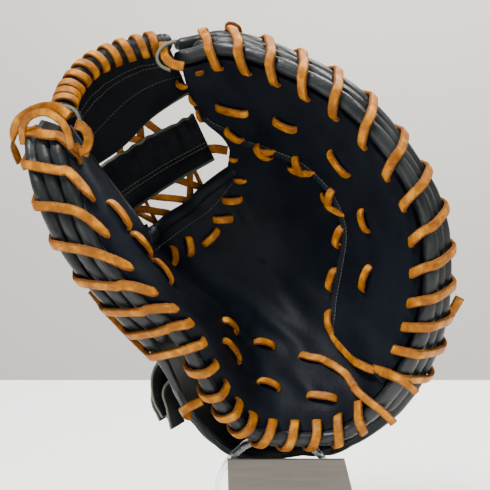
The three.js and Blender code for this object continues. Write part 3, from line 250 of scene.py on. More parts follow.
# Short laces, knots and loose ends: across, up, deep, and the way their width faces.
HAND_LACES = {
    "thumb_tip_loop": [
        (-0.502, 0.185, -0.33, "up"),
        (-0.517, 0.232, -0.4, "up"),
        (-0.501, 0.278, -0.46, ""),
        (-0.457, 0.305, -0.52, ""),
        (-0.414, 0.305, -0.56, ""),
        (-0.39, 0.287, -0.6, ""),
    ],
    "thumb_tip_knot": [
        (-0.377, 0.268, -0.62, ""),
        (-0.358, 0.26, -0.6, ""),
        (-0.347, 0.238, -0.57, ""),
        (-0.354, 0.213, -0.58, ""),
        (-0.371, 0.205, -0.6, ""),
    ],
    "finger_tip_tie": [
        (-0.183, 0.452, -0.17, ""),
        (-0.179, 0.42, -0.19, ""),
        (-0.163, 0.402, -0.2, ""),
        (-0.136, 0.396, -0.2, ""),
    ],
    "top_knot": [
        (-0.018, 0.456, 0.06, "deep"),
        (-0.04, 0.477, 0.06, "deep"),
        (-0.035, 0.493, 0.02, "deep"),
        (-0.015, 0.486, 0.02, "deep"),
        (-0.008, 0.466, 0.05, "deep"),
    ],
    "heel_knot": [
        (-0.096, -0.346, -0.38, "fold"),
        (-0.13, -0.364, -0.4, "fold"),
        (-0.14, -0.373, -0.36, "fold"),
        (-0.132, -0.378, -0.31, "fold"),
        (-0.122, -0.38, -0.29, "fold"),
    ],
    "thumb_lace_tail": [
        (-0.342, -0.1, -0.45, "turned"),
        (-0.305, -0.148, -0.435, "turned"),
        (-0.261, -0.195, -0.401, "turned"),
        (-0.2205, -0.2345, -0.362, "turned"),
    ],
    "web_side_tie": [
        (-0.092, 0.212, 0.256, ""),
        (-0.068, 0.214, 0.237, ""),
        (-0.041, 0.21, 0.167, ""),
    ],
    "side_lace_end": [
        (0.446, -0.172, -0.272, ""),
        (0.462, -0.144, -0.307, ""),
        (0.478, -0.117, -0.327, ""),
    ],
}
TAB_START = (13.0, 0.3)
TAB_LINE = [
    (-0.194, -0.27, 0.1),
    (-0.2, -0.306, 0.06),
    (-0.186, -0.35, 0.05),
    (-0.158, -0.388, 0.07),
]

# Soft creases in the palm: from across and up, to across and up, half width in mm, depth in mm.
CREASES = [
    (-0.02, -0.104, 0.149, -0.238, 5.0, 1.6),
    (-0.051, -0.162, 0.051, -0.222, 4.0, 1.2),
    (0.038, -0.051, 0.167, -0.189, 8.0, 1.2),
    (-0.13, -0.06, 0.02, -0.15, 7.0, 1.2),
    (0.1, -0.28, 0.2, -0.37, 5.0, 1.0),
    (0.02, -0.26, 0.09, -0.39, 6.0, 1.0),
    (0.29, -0.19, 0.36, -0.27, 6.0, 1.2),
    (-0.3, 0.03, -0.19, -0.11, 6.0, 0.9),
    (-0.36, 0.13, -0.3, 0.02, 5.0, 0.8),
]


# Places

EYE = np.array(
    [0.0, -EYE_DISTANCE * math.cos(EYE_TILT), MIDDLE_HEIGHT + EYE_DISTANCE * math.sin(EYE_TILT)]
)
DEEP = np.array([0.0, 1.0, 0.0])
# The share inwards at which a roll's directions are taken.
AT_ROLL = 0.02


def seen(across, up, deep):
    """The point at a depth that is seen at a share across and up."""
    across, up, deep = np.broadcast_arrays(*(np.asarray(v, float) for v in (across, up, deep)))
    right = across * SPAN / EYE_DISTANCE
    high = up * SPAN / EYE_DISTANCE
    away = math.cos(EYE_TILT) + high * math.sin(EYE_TILT)
    rise = -math.sin(EYE_TILT) + high * math.cos(EYE_TILT)
    ray = np.stack([right, away, rise], -1)
    return EYE + ray * ((deep * DEPTH - EYE[1]) / ray[..., 1])[..., None]


def shares_of(points):
    """The shares across and up at which points are seen."""
    offset = points - EYE
    away = offset[..., 1] * math.cos(EYE_TILT) - offset[..., 2] * math.sin(EYE_TILT)
    high = offset[..., 1] * math.sin(EYE_TILT) + offset[..., 2] * math.cos(EYE_TILT)
    scale = EYE_DISTANCE / SPAN / away
    return offset[..., 0] * scale, high * scale


def eased(p0, p1, p2, p3, f):
    """A smooth curve between the middle two of four neighbours, at a share f."""
    bend = 2 * p0 - 5 * p1 + 4 * p2 - p3
    twist = 3 * p1 - p0 - 3 * p2 + p3
    return 0.5 * (2 * p1 + (p2 - p0) * f + bend * f * f + twist * f**3)


def spline(rows, t, closed=False):
    """A smooth curve through rows of numbers; t counts rows."""
    rows = np.asarray(rows, float)
    t = np.asarray(t, float)
    count = len(rows)
    start = np.floor(t).astype(int)
    if not closed:
        start = np.clip(start, 0, count - 2)
    near = (
        rows[(start + k) % count] if closed else rows[np.clip(start + k, 0, count - 1)]
        for k in (-1, 0, 1, 2)
    )
    return eased(*near, (t - start)[..., None])


FRONT_RIM = np.array([seen(*row[1:4]) for row in RIM])
BACK_RIM = np.array([seen(*row[4:7]) for row in RIM])
PALM_MIDDLE = seen(POCKET_ACROSS, POCKET_UP, POCKET_DEEP)
BACK_MIDDLE = seen(POCKET_ACROSS, POCKET_UP, BACK_DEEP)
PALM_ROWS = np.array([PALM_PROFILE[row[0]] for row in RIM])
BACK_ROWS = np.array([BACK_PROFILE[row[0]] for row in RIM])


def bowl(rim, middle, profile_rows, t, s):
    """The point a share s of the way from the rim to the middle, at rim row t."""
    t, s = np.broadcast_arrays(np.asarray(t, float), np.asarray(s, float))
    edge = spline(rim, t, closed=True)
    lip_in, lip_deep, wall_in, wall_deep, floor_in, floor_deep = np.moveaxis(
        spline(profile_rows, t, closed=True), -1, 0
    )
    zero = np.zeros_like(lip_in)
    inward = np.stack([-lip_in, zero, lip_in, wall_in, floor_in, zero + 1, 2 - floor_in], -1)
    deep = np.stack([-lip_deep, zero, lip_deep, wall_deep, floor_deep, zero + 1, floor_deep], -1)
    place = 1 + 4 * s
    start = np.clip(np.floor(place).astype(int), 0, 5)
    f = place - start

    def through(values):
        near = (
            np.take_along_axis(values, np.clip(start + k, 0, 6)[..., None], -1)[..., 0]
            for k in (-1, 0, 1, 2)
        )
        return eased(*near, f)

    inward = through(inward)
    return edge + (middle - edge) * np.stack([inward, through(deep), inward], -1)


def hump(value, centre, width):
    """1 at the centre, fading smoothly within about a width."""
    return np.exp(-(((value - centre) / width) ** 2))


def palm_bowl(t, s):
    point = bowl(FRONT_RIM, PALM_MIDDLE, PALM_ROWS, t, s)
    across = hump(np.asarray(t) - BREAK_ROW, 0.05, 0.42)
    along = np.sin(np.pi * np.minimum(1, np.asarray(s) / 0.62)) ** 2
    point[..., 1] += BREAK_FOLD * across * along
    return point


def smoothstep(value, low, high):
    share = np.clip((value - low) / (high - low), 0, 1)
    return share * share * (3 - 2 * share)


def palm_at(t, s):
    """The palm, drawn smooth where the thumb's side turns into the web's."""
    t, s = np.broadcast_arrays(np.asarray(t, float), np.asarray(s, float))
    sharp = palm_bowl(t, s)
    row = t % len(RIM)
    share = smoothstep(s, 0.4, 0.62) * smoothstep(row, 15.6, 16.5) * (1 - smoothstep(row, 19, 19.9))
    if not np.any(share > 0):
        return sharp
    soft = sum(weight * palm_bowl(t + away, s) for away, weight in PALM_SOFTENING)
    return sharp + (soft - sharp) * share[..., None]


def back_at(t, s):
    return bowl(BACK_RIM, BACK_MIDDLE, BACK_ROWS, t, s)


def unit(vector):
    return vector / np.maximum(np.linalg.norm(vector, axis=-1, keepdims=True), 1e-9)


def frame_of(surface, t, s):
    """Place, direction round the rim, direction inwards and the front's normal."""
    step = 0.002
    t, s = np.asarray(t, float), np.asarray(s, float)
    low = np.minimum(s, 1 - step)
    around = unit(surface(t + step, s) - surface(t - step, s))
    inward = unit(surface(t, low + step) - surface(t, low - step))
    return surface(t, s), around, inward, unit(np.cross(inward, around))


def frame_at(surface, t, s):
    """The same for one place."""
    return (v[0] for v in frame_of(surface, np.array([float(t)]), np.array([float(s)])))


def inset(surface, t, distance):
    """The s at which a surface has run a distance square to its rim."""
    rows = np.atleast_1d(np.asarray(t, float))
    _, around, inward, _ = frame_of(surface, rows, np.full(rows.shape, AT_ROLL))
    needed = distance / np.linalg.norm(np.cross(around, inward), axis=-1)
    shares = np.linspace(0, 1, 121)
    points = surface(rows[:, None], shares[None, :])
    runs = np.cumsum(np.linalg.norm(np.diff(points, axis=1), axis=-1), axis=1)
    runs = np.concatenate([np.zeros((len(rows), 1)), runs], axis=1)
    found = np.array([np.interp(d, run, shares) for d, run in zip(needed, runs)])
    return found if np.ndim(t) else float(found[0])


def find(surface, across, up, reach_t=21.0, reach_s=0.97, grid=0.25):
    """The t and s at which a surface is seen at a share across and up."""
    rows = np.arange(0, reach_t + 1e-6, grid)
    shares = np.arange(0, reach_s, 0.06 if reach_t > 2 else 0.1)
    points = surface(rows[:, None] + 0 * shares, shares[None, :] + 0 * rows[:, None])
    a, u = shares_of(points)
    i, j = np.unravel_index(np.argmin(np.hypot(a - across, u - up)), a.shape)
    t, s = float(rows[i]), float(shares[j])
    step = 0.001
    for _ in range(8):
        places = surface(np.array([t, t + step, t]), np.array([s, s, s + step]))
        a, u = shares_of(places)
        miss = np.array([a[0] - across, u[0] - up])
        slope = np.array([[a[1] - a[0], a[2] - a[0]], [u[1] - u[0], u[2] - u[0]]]) / step
        if abs(np.linalg.det(slope)) < 1e-9:
            break
        move = np.linalg.solve(slope, -miss)
        t += float(np.clip(move[0], -grid, grid))
        s = float(np.clip(s + np.clip(move[1], -0.2, 0.2), 0, reach_s))
    return t, s


def frames_along(surface, line):
    """A surface's frames at the places that are seen along a line of across and up."""
    places = np.array([find(surface, across, up) for across, up in line])
    return frame_of(surface, places[:, 0], places[:, 1])


def is_heel(t):
    return HEEL_START < t < HEEL_END


def full_radius(rows):
    return np.full(rows.shape, ROLL_RADIUS)


def back_radius(rows):
    heel = smoothstep(rows, HEEL_START - 0.5, HEEL_START + 0.5)
    heel = heel - smoothstep(rows, HEEL_END - 0.5, HEEL_END + 0.5)
    return ROLL_RADIUS + (WRIST_ROLL_RADIUS - ROLL_RADIUS) * heel


# Meshes

# Angles in degrees over which a sheet's and a lace's folds stay crisp.
SHEET_FOLD = 50
LACE_FOLD = 60
CAP_RINGS = 5
STRIP_SPACING = 1.1
SHELL_COLUMNS = 336


def make(name, points, faces, material, smooth=True, edge=None, sharp=None):
    """An object from points in mm. Its material reads edge; folds over sharp degrees stay crisp."""
    mesh = bpy.data.meshes.new(name)
    mesh.from_pydata([tuple(p) for p in np.asarray(points) * MM], [], faces)
    mesh.validate()
    built = bmesh.new()
    built.from_mesh(mesh)
    bmesh.ops.recalc_face_normals(built, faces=built.faces)
    built.to_mesh(mesh)
    built.free()
    if smooth:
        mesh.shade_smooth()
    if sharp:
        mesh.set_sharp_from_angle(angle=math.radians(sharp))
    if edge is not None:
        layer = mesh.attributes.new("edge", "FLOAT", "POINT")
        layer.data.foreach_set("value", np.asarray(edge, np.float32))
    mesh.materials.append(material)
    obj = bpy.data.objects.new(name, mesh)
    bpy.context.scene.collection.objects.link(obj)
    return obj


def dress(obj, slot_name, *nodes):
    """The piece rides on the part and stands for the CAD nodes named."""
    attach(obj, "root")
    if nodes:
        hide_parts(*nodes)
    return obj


def grid_faces(rows, columns, closed=False):
    faces = []
    for i in range(rows if closed else rows - 1):
        after = (i + 1) % rows
        for j in range(columns - 1):
            a, b = i * columns + j, after * columns + j
            faces.append((a, b, b + 1, a + 1))
    return faces


def ring_faces(count, sides):
    """The faces of a closed body made of rings in a row."""
    faces = []
    for i in range(count - 1):
        for k in range(sides):
            a, b = i * sides + k, i * sides + (k + 1) % sides
            faces.append((a, b, b + sides, a + sides))
    return faces + [tuple(reversed(range(sides))), tuple(range((count - 1) * sides, count * sides))]


def slab(name, front, back, material, **more):
    """A sheet with two faces and closed edges, from two matching grids of points."""
    rows, columns = front.shape[:2]
    points = np.concatenate([front.reshape(-1, 3), back.reshape(-1, 3)])
    shift = rows * columns
    faces = grid_faces(rows, columns)
    faces += [tuple(k + shift for k in reversed(face)) for face in faces]
    ends = [(i * columns + j, columns) for i in range(rows - 1) for j in (0, columns - 1)]
    ends += [(i * columns + j, 1) for j in range(columns - 1) for i in (0, rows - 1)]
    faces += [(a, a + step, a + step + shift, a + shift) for a, step in ends]
    return make(name, points, faces, material, **more)


def disc_grid(surface, columns, rings):
    """The rows, shares and faces of a whole bowl, from just inside its roll to its middle."""
    rows = np.linspace(0, len(RIM), columns, endpoint=False)
    radii = back_radius(rows) if surface is back_at else ROLL_RADIUS
    starts = inset(surface, rows, radii + GAP)
    shares = starts[:, None] + (0.985 - starts[:, None]) * np.linspace(0, 1, rings)[None, :]
    t = np.append((rows[:, None] + 0 * shares).reshape(-1), 0.0)
    s = np.append(shares.reshape(-1), 1.0)
    faces = grid_faces(columns, rings, True)
    centre = columns * rings
    for i in range(columns):
        after = (i + 1) % columns
        faces.append((i * rings + rings - 1, after * rings + rings - 1, centre))
    return t, s, faces


def cut_out(surface, t, s, faces, outline_at):
    """Takes away the faces inside an outline and draws the edge that is left onto it."""
    points = surface(t, s)
    across, up = shares_of(points)
    ring_across, ring_up = outline_at(points)
    next_across, next_up = np.roll(ring_across, -1, 1), np.roll(ring_up, -1, 1)
    rising = (ring_up > up[:, None]) != (next_up > up[:, None])
    slope = np.where(np.abs(next_up - ring_up) < 1e-9, 1e-9, next_up - ring_up)
    crossing = ring_across + (up[:, None] - ring_up) / slope * (next_across - ring_across)
    inside = np.sum(rising & (across[:, None] < crossing), axis=1) % 2 == 1
    kept = [face for face in faces if not all(inside[k] for k in face)]
    moved = np.array(sorted({k for face in kept for k in face if inside[k]}), int)
    dx, dy = next_across[moved] - ring_across[moved], next_up[moved] - ring_up[moved]
    to_x, to_y = across[moved, None] - ring_across[moved], up[moved, None] - ring_up[moved]
    share = np.clip((to_x * dx + to_y * dy) / np.maximum(dx * dx + dy * dy, 1e-12), 0, 1)
    near_x, near_y = ring_across[moved] + share * dx, ring_up[moved] + share * dy
    nearest = np.argmin(np.hypot(near_x - across[moved, None], near_y - up[moved, None]), axis=1)
    pick = np.arange(len(moved))
    goal_x, goal_y = near_x[pick, nearest], near_y[pick, nearest]
    step = 0.001
    for _ in range(5):
        a, u = shares_of(surface(t[moved], s[moved]))
        at, ut = shares_of(surface(t[moved] + step, s[moved]))
        as_, us = shares_of(surface(t[moved], s[moved] + step))
        tt, ts, st, ss = (at - a) / step, (as_ - a) / step, (ut - u) / step, (us - u) / step
        area = tt * ss - ts * st
        area = np.where(np.abs(area) < 1e-6, 1e-6, area)
        miss_x, miss_y = goal_x - a, goal_y - u
        t[moved] += np.clip((miss_x * ss - miss_y * ts) / area, -0.12, 0.12)
        s[moved] += np.clip((miss_y * tt - miss_x * st) / area, -0.03, 0.03)
    return kept


def notch_outline(points):
    """The open web's outline at the depth of each point."""
    share = (points[:, 1] / DEPTH + 1) / 2.2
    across = NOTCH_ACROSS[None, :] + NOTCH_SPREAD[None, :] * share[:, None]
    return across, np.tile(NOTCH_UP, (len(points), 1))


def hand_hole_ring(turn):
    """Across and up on the hand hole's oval."""
    across = HAND_HOLE["across"] + HAND_HOLE["half_width"] * np.cos(turn)
    return across, HAND_HOLE["up"] + HAND_HOLE["half_height"] * np.sin(turn)


def hand_hole_outline(points):
    ring = hand_hole_ring(np.linspace(0, 2 * np.pi, 48, endpoint=False))
    return [np.tile(shares, (len(points), 1)) for shares in ring]


def leather_sheet(name, top, low, faces, material):
    """A sheet with two faces and closed edges, from two matching sets of points and one set of faces."""
    used = np.array(sorted({k for face in faces for k in face}))
    place = {k: i for i, k in enumerate(used)}
    faces = [tuple(place[k] for k in face) for face in faces]
    shift = len(used)
    count = {}
    for face in faces:
        for a, b in zip(face, face[1:] + face[:1]):
            key = (min(a, b), max(a, b))
            count[key] = count.get(key, 0) + 1
    both = faces + [tuple(k + shift for k in reversed(face)) for face in faces]
    both += [(a, b, b + shift, a + shift) for (a, b), times in count.items() if times == 1]
    return make(name, np.concatenate([top[used], low[used]]), both, material, sharp=SHEET_FOLD)


def rounded(points, radius, sides=4):
    """A path whose corners are rounded by a radius, with how far along the corners each point lies."""
    points = np.asarray(points, float)
    out = [points[0]]
    place = [0.0]
    for i in range(1, len(points) - 1):
        before, here, after = points[i - 1], points[i], points[i + 1]
        into, away = here - before, after - here
        cut = min(radius, 0.48 * np.linalg.norm(into), 0.48 * np.linalg.norm(away))
        start = here - unit(into) * cut
        end = here + unit(away) * cut
        share_in = cut / max(np.linalg.norm(into), 1e-6)
        share_out = cut / max(np.linalg.norm(away), 1e-6)
        for k in range(sides + 1):
            f = k / sides
            out.append((1 - f) ** 2 * start + 2 * f * (1 - f) * here + f * f * end)
            place.append(i - share_in * (1 - f) if f < 0.5 else i + share_out * f * (f >= 0.5))
    out.append(points[-1])
    place.append(float(len(points) - 1))
    return np.array(out), np.array(place)


def curved(points, steps=10):
    """A smooth path through every stop, with how far along the stops each point lies."""
    points = np.asarray(points, float)
    chords = np.diff(points, axis=0)
    gaps = np.sqrt(np.maximum(np.linalg.norm(chords, axis=1), 1e-6))[:, None]
    rates = chords / gaps
    inner = (rates[:-1] * gaps[1:] + rates[1:] * gaps[:-1]) / (gaps[1:] + gaps[:-1])
    slopes = np.concatenate([rates[:1], inner, rates[-1:]])
    place = np.linspace(0, len(points) - 1, (len(points) - 1) * steps + 1)
    i = np.minimum(place.astype(int), len(points) - 2)
    f = (place - i)[:, None]
    bend = (f**3 - 2 * f**2 + f) * slopes[i] + (f**3 - f**2) * slopes[i + 1]
    path = (1 - f * f * (3 - 2 * f)) * points[i] + f * f * (3 - 2 * f) * points[i + 1] + gaps[i] * bend
    return path, place


def resampled(points, values, spacing):
    """Points evenly spaced along a path, with their values."""
    lengths = np.linalg.norm(np.diff(points, axis=0), axis=1)
    run = np.concatenate([[0], np.cumsum(lengths)])
    count = max(3, int(run[-1] / spacing) + 1)
    at = np.linspace(0, run[-1], count)
    points = np.stack([np.interp(at, run, points[:, k]) for k in range(3)], -1)
    values = np.stack([np.interp(at, run, values[:, k]) for k in range(values.shape[1])], -1)
    return points, values


def mirrored(half, middle):
    return [*half, middle, *((-x, y, edge) for x, y, edge in reversed(half))]


def strip_section(width, thick, flesh):
    """A cut strip's section, with a domed face and fibrous edges: across, out, edge. Edge sets the sides'
    colour; on the laces that darker colour is partly painted shade.
    """
    half, high = width / 2, thick / 2
    near, far = half - 0.22 * thick, half - 0.55 * thick
    side = [(-half, -high * 0.55, 1.0), (-half, high * 0.5, 1.0)]
    side += [(-near, high * 0.88, 0.7), (-far, high, 0.0)]
    below = [(near, -high, 1.0), (far, -high, flesh)]
    return mirrored(side, (0, high * 1.1, 0.0)) + mirrored(below, (0, -high, flesh))


def wander(knots, count, pace):
    """A value for each point of a row, drifting from knot to knot."""
    return np.interp(np.arange(count) / pace, np.arange(len(knots)), knots)


def strip(
    name,
    stops,
    material,
    width=VISIBLE_LACE,
    thick=LACE_WALL,
    radius=4.0,
    pinches=None,
    pinched=0.55,
    faced=None,
    seed=1,
):
    """A cut strip of leather along stops, each a place and the way across; it narrows at its pinches."""
    places = np.array([stop[0] for stop in stops])
    across = np.array([stop[1] for stop in stops])
    for i in range(1, len(across)):
        if np.dot(across[i], across[i - 1]) < 0:
            across[i] = -across[i]
    path, corner = rounded(places, radius) if radius else curved(places)
    wide = np.stack([np.interp(corner, np.arange(len(places)), across[:, k]) for k in range(3)], -1)
    path, wide = resampled(path, wide, STRIP_SPACING)
    along = unit(np.gradient(path, axis=0))
    wide = unit(wide - along * np.sum(wide * along, -1, keepdims=True))
    out = np.cross(along, wide)
    if faced == "eye":
        out = out * np.where(np.sum(out * (EYE - path), -1, keepdims=True) < 0, -1, 1)
    elif faced == "outside" and np.sum(out * (path - PALM_MIDDLE)) < 0:
        out = -out
    section = strip_section(width, thick, 0.8 if material is LACE else 0.0)
    rng = np.random.default_rng(seed)
    count = len(path)
    knots = rng.uniform(-1, 1, count // 5 + 4)
    scale = 1 + 0.035 * wander(knots, count, 5)
    if pinches is not None:
        away = np.min(np.linalg.norm(path[:, None] - pinches[None], axis=-1), axis=1)
        scale = scale * (pinched + (1 - pinched) * smoothstep(away, 1.0, 7.0))
    lean = 0.25 * wander(knots[::-1], count, 7)
    edge = np.tile([row[2] for row in section], (count, 1))
    fray = rng.uniform(-0.13, 0.13, edge.shape) * (edge > 0.4)
    rings = [
        path + wide * ((x * scale + lean + np.sign(x) * fray[:, k])[:, None]) + out * y
        for k, (x, y, _) in enumerate(section)
    ]
    edge[[0, -1]] = 1.0
    points = np.stack(rings, 1).reshape(-1, 3)
    faces = ring_faces(count, len(section))
    return make(name, points, faces, material, edge=edge.reshape(-1), sharp=LACE_FOLD)


def tube(name, path, radii, material, across, sides=18, squash=1.0, relief=None):
    """A round roll along a path with rounded ends; radii is one number for each point."""
    along = unit(np.gradient(path, axis=0))
    wide = unit(across - along * np.sum(across * along, -1, keepdims=True))
    out = np.cross(along, wide)
    turn = 2 * np.pi * np.arange(sides) / sides
    radius = np.asarray(radii)[:, None] + (np.zeros((len(path), sides)) if relief is None else relief)
    rings = (
        path[:, None]
        + (np.cos(turn) * radius)[..., None] * wide[:, None]
        + (np.sin(turn) * radius)[..., None] * out[:, None] * squash
    )

    def capped(i, sign):
        made = []
        for angle in np.arange(1, CAP_RINGS) / CAP_RINGS * np.pi / 2:
            centre = path[i] + sign * along[i] * radii[i] * math.sin(angle) * 0.8
            made.append(centre + (rings[i] - path[i]) * math.cos(angle))
        return made

    rings = capped(0, -1)[::-1] + list(rings) + capped(-1, 1)
    return make(name, np.array(rings).reshape(-1, 3), ring_faces(len(rings), sides), material)


# Stitches


STITCH_PITCH = 2.5
STITCH_LENGTH = 2.1
STITCH_RADIUS = 0.34
STITCH_SIDES = 6
# A stitch's rings: how far along it, and how thick.
STITCH_RINGS = [(-0.5, 0.3), (-0.3, 0.9), (0, 1.0), (0.3, 0.9), (0.5, 0.3)]


def stitches(name, path, normals):
    """A row of thread stitches lying on a surface along a path."""
    path, normals = resampled(np.asarray(path), np.asarray(normals), STITCH_PITCH)
    along = unit(np.gradient(path, axis=0))
    points = []
    faces = []
    sides = STITCH_SIDES
    for centre, way, up in zip(path, along, unit(normals)):
        side = unit(np.cross(way, up))
        start = len(points)
        for share, fat in STITCH_RINGS:
            middle = centre + way * share * STITCH_LENGTH
            lift = STITCH_RADIUS * (0.75 - 1.6 * abs(share) ** 2)
            for turn in 2 * math.pi * np.arange(sides) / sides:
                rise = lift + math.sin(turn) * STITCH_RADIUS * fat
                points.append(middle + up * rise + side * math.cos(turn) * STITCH_RADIUS * fat)
        for ring in range(4):
            for k in range(sides):
                a = start + ring * sides + k
                b = start + ring * sides + (k + 1) % sides
                faces.append((a, b, b + sides, a + sides))
        faces.append(tuple(range(start, start + sides)))
        faces.append(tuple(range(start + 4 * sides, start + 5 * sides)))
    return make(name, points, faces, THREAD)


# Materials

# The colour sockets of a mix, which share their names with others.
MIX_FIRST = 6
MIX_SECOND = 7
MIX_RESULT = 2


def feed(tree, node, **inputs):
    """Gives a shader node's named inputs a value, or another node's output."""
    for name, value in inputs.items():
        socket = node.inputs[name.replace("_", " ")]
        if isinstance(value, bpy.types.NodeSocket):
            tree.links.new(value, socket)
        else:
            socket.default_value = value
    return node


def add_node(tree, kind, **inputs):
    return feed(tree, tree.nodes.new("ShaderNode" + kind), **inputs)


def node_material(name):
    material = bpy.data.materials.new(name)
    material.use_nodes = True
    return material, material.node_tree, material.node_tree.nodes["Principled BSDF"]


def noise(tree, scale, detail=4.0, rough=0.55, stretch=None):
    source = add_node(tree, "TexCoord").outputs["Object"]
    if stretch:
        source = add_node(tree, "Mapping", Vector=source, Scale=stretch).outputs["Vector"]
    inputs = {"Vector": source, "Scale": scale, "Detail": detail, "Roughness": rough}
    return add_node(tree, "TexNoise", **inputs).outputs["Fac"]


def cells(tree, scale):
    source = add_node(tree, "TexCoord").outputs["Object"]
    return add_node(tree, "TexVoronoi", Vector=source, Scale=scale).outputs["Distance"]


def ramp(tree, value, stops):
    node = add_node(tree, "ValToRGB", Fac=value)
    elements = node.color_ramp.elements
    added = [elements.new(place) for place, _ in stops[1:-1]]
    for element, (place, colour) in zip((elements[0], *added, elements[-1]), stops):
        element.position = place
        element.color = (*colour, 1)
    return node.outputs["Color"]


def scaled(tree, value, low, high, start=0.0, end=1.0):
    inputs = {"From Min": start, "From Max": end, "To Min": low, "To Max": high}
    return add_node(tree, "MapRange", Value=value, **inputs).outputs["Result"]


def mixed(tree, share, face, edge):
    """The face's colour, turning into the edge's as the share grows."""
    node = tree.nodes.new("ShaderNodeMix")
    node.data_type = "RGBA"
    tree.links.new(share, node.inputs["Factor"])
    tree.links.new(face, node.inputs[MIX_FIRST])
    if isinstance(edge, tuple):
        node.inputs[MIX_SECOND].default_value = (*edge, 1)
    else:
        tree.links.new(edge, node.inputs[MIX_SECOND])
    return node.outputs[MIX_RESULT]


def bumped(tree, shader, *layers):
    """Stacks bumps; each is a height, a strength and a distance in metres."""
    normal = {}
    for height, strength, distance in layers:
        bump = add_node(tree, "Bump", Height=height, Strength=strength, Distance=distance, **normal)
        normal = {"Normal": bump.outputs["Normal"]}
    feed(tree, shader, **normal)


def attribute(tree, name):
    node = tree.nodes.new("ShaderNodeAttribute")
    node.attribute_name = name
    return node.outputs["Fac"]


def leather(name, dark, light, rough_low, rough_high, gloss, grain=0.35, cut_edge=None):
    """Dyed leather: cloudy colour, fine pebble grain, faint wrinkles, rubbed patches; on the rolls the
    lighter patches are partly painted sheen.
    """
    material, tree, shader = node_material(name)
    middle = tuple((a + b) / 2 for a, b in zip(dark, light))
    colour = ramp(tree, noise(tree, 22, 5), [(0.32, dark), (0.5, middle), (0.72, light)])
    if cut_edge:
        colour = mixed(tree, scaled(tree, attribute(tree, "edge"), -0.6, 1.0), colour, cut_edge)
    roughness = scaled(tree, noise(tree, 45, 6), rough_low, rough_high)
    feed(tree, shader, Base_Color=colour, Roughness=roughness, Specular_IOR_Level=gloss)
    wrinkles = (noise(tree, 55, 4), 0.45, 0.0016)
    pores = (noise(tree, 260, 5, 0.6), 0.35, 0.0006)
    bumped(tree, shader, wrinkles, pores, (cells(tree, 950), grain, 0.00022))
    return material


def rawhide(name):
    """Tan lace: a smooth face, darker edges that are partly fibrous cut leather and partly painted shade,
    worn patches.
    """
    material, tree, shader = node_material(name)
    tans = [(0.3, (0.17, 0.049, 0.0004)), (0.5, (0.31, 0.102, 0.0005)), (0.72, (0.62, 0.25, 0.006))]
    # The darker brown on the strip's sides is partly the cut fibres' own colour and partly painted shade.
    edge_browns_and_shade = [(0.35, (0.055, 0.016, 0.002)), (0.7, (0.3, 0.1, 0.01))]
    face = ramp(tree, noise(tree, 120, 5), tans)
    cut = ramp(tree, noise(tree, 900, 6, 0.7), edge_browns_and_shade)
    fuzz = tree.nodes.new("ShaderNodeMath")
    tree.links.new(attribute(tree, "edge"), fuzz.inputs[0])
    tree.links.new(scaled(tree, noise(tree, 700, 6, 0.7), -0.45, 0.45), fuzz.inputs[1])
    share = scaled(tree, fuzz.outputs[0], 0.0, 1.0, 0.25, 0.85)
    roughness = scaled(tree, share, 0.46, 0.95)
    colour = mixed(tree, share, face, cut)
    feed(tree, shader, Base_Color=colour, Roughness=roughness, Specular_IOR_Level=0.2)
    fibres = (noise(tree, 1400, 4, 0.7), 0.5, 0.0003)
    bumped(tree, shader, (noise(tree, 160, 4), 0.4, 0.0008), fibres)
    return material


def thread(name, colour):
    material, tree, shader = node_material(name)
    shades = [(0.3, tuple(c * 0.7 for c in colour)), (0.7, colour)]
    feed(tree, shader, Base_Color=ramp(tree, noise(tree, 500, 3), shades), Roughness=0.8)
    bumped(tree, shader, (noise(tree, 3000, 3), 0.5, 0.0001))
    return material


def satin(name):
    """The stand's plate: brushed grey-brown panel with a soft gloss."""
    material, tree, shader = node_material(name)
    streak = noise(tree, 30, 5, 0.6, (1, 1, 14))
    colour = ramp(tree, streak, [(0.3, (0.21, 0.185, 0.155)), (0.7, (0.26, 0.235, 0.2))])
    roughness = scaled(tree, streak, 0.28, 0.45)
    feed(tree, shader, Base_Color=colour, Roughness=roughness, Coat_Weight=0.3)
    bumped(tree, shader, (streak, 0.1, 0.0002))
    return material


def acrylic(name):
    """Clear acrylic with a faint blue cast and very light handling marks."""
    material, tree, shader = node_material(name)
    colour = ramp(tree, noise(tree, 12, 2), [(0.3, (0.82, 0.89, 0.95)), (0.7, (0.9, 0.94, 0.98))])
    roughness = scaled(tree, noise(tree, 90, 3), 0.03, 0.1)
    feed(tree, shader, Base_Color=colour, Roughness=roughness, Transmission_Weight=0.92, IOR=1.49)
    bumped(tree, shader, (noise(tree, 60, 2), 0.05, 0.0002))
    return material


def backdrop(name, colour):
    material, tree, shader = node_material(name)
    feed(tree, shader, Base_Color=(*colour, 1), Roughness=0.9)
    return material


PALM = leather("palm leather", (0.0014, 0.0024, 0.0048), (0.0055, 0.008, 0.0125), 0.44, 0.66, 0.11)
SHELL = leather("shell leather", (0.003, 0.0042, 0.0045), (0.011, 0.0135, 0.0125), 0.36, 0.58, 0.18)
# The rolls share the shell's dark colour but have a lighter one: partly rubbed wear, partly painted
# sheen.
ROLL = leather("roll leather", (0.003, 0.0042, 0.0045), (0.02, 0.0235, 0.024), 0.3, 0.5, 0.32, 0.25)
CUT_COLOURS = ((0.003, 0.004, 0.004), (0.012, 0.014, 0.0135))
CUT = leather("cut leather", *CUT_COLOURS, 0.42, 0.62, 0.2, 0.35, (0.13, 0.135, 0.1))
LACE = rawhide("rawhide lace")
THREAD = thread("dark thread", (0.075, 0.075, 0.062))
PLATE = satin("stand plate")
ACRYLIC = acrylic("clear acrylic")


# The laces' stops


def roll_place(surface, t):
    _, around, _, front = frame_at(surface, t, AT_ROLL)
    return surface(np.array([float(t)]), np.array([0.0]))[0], around, front


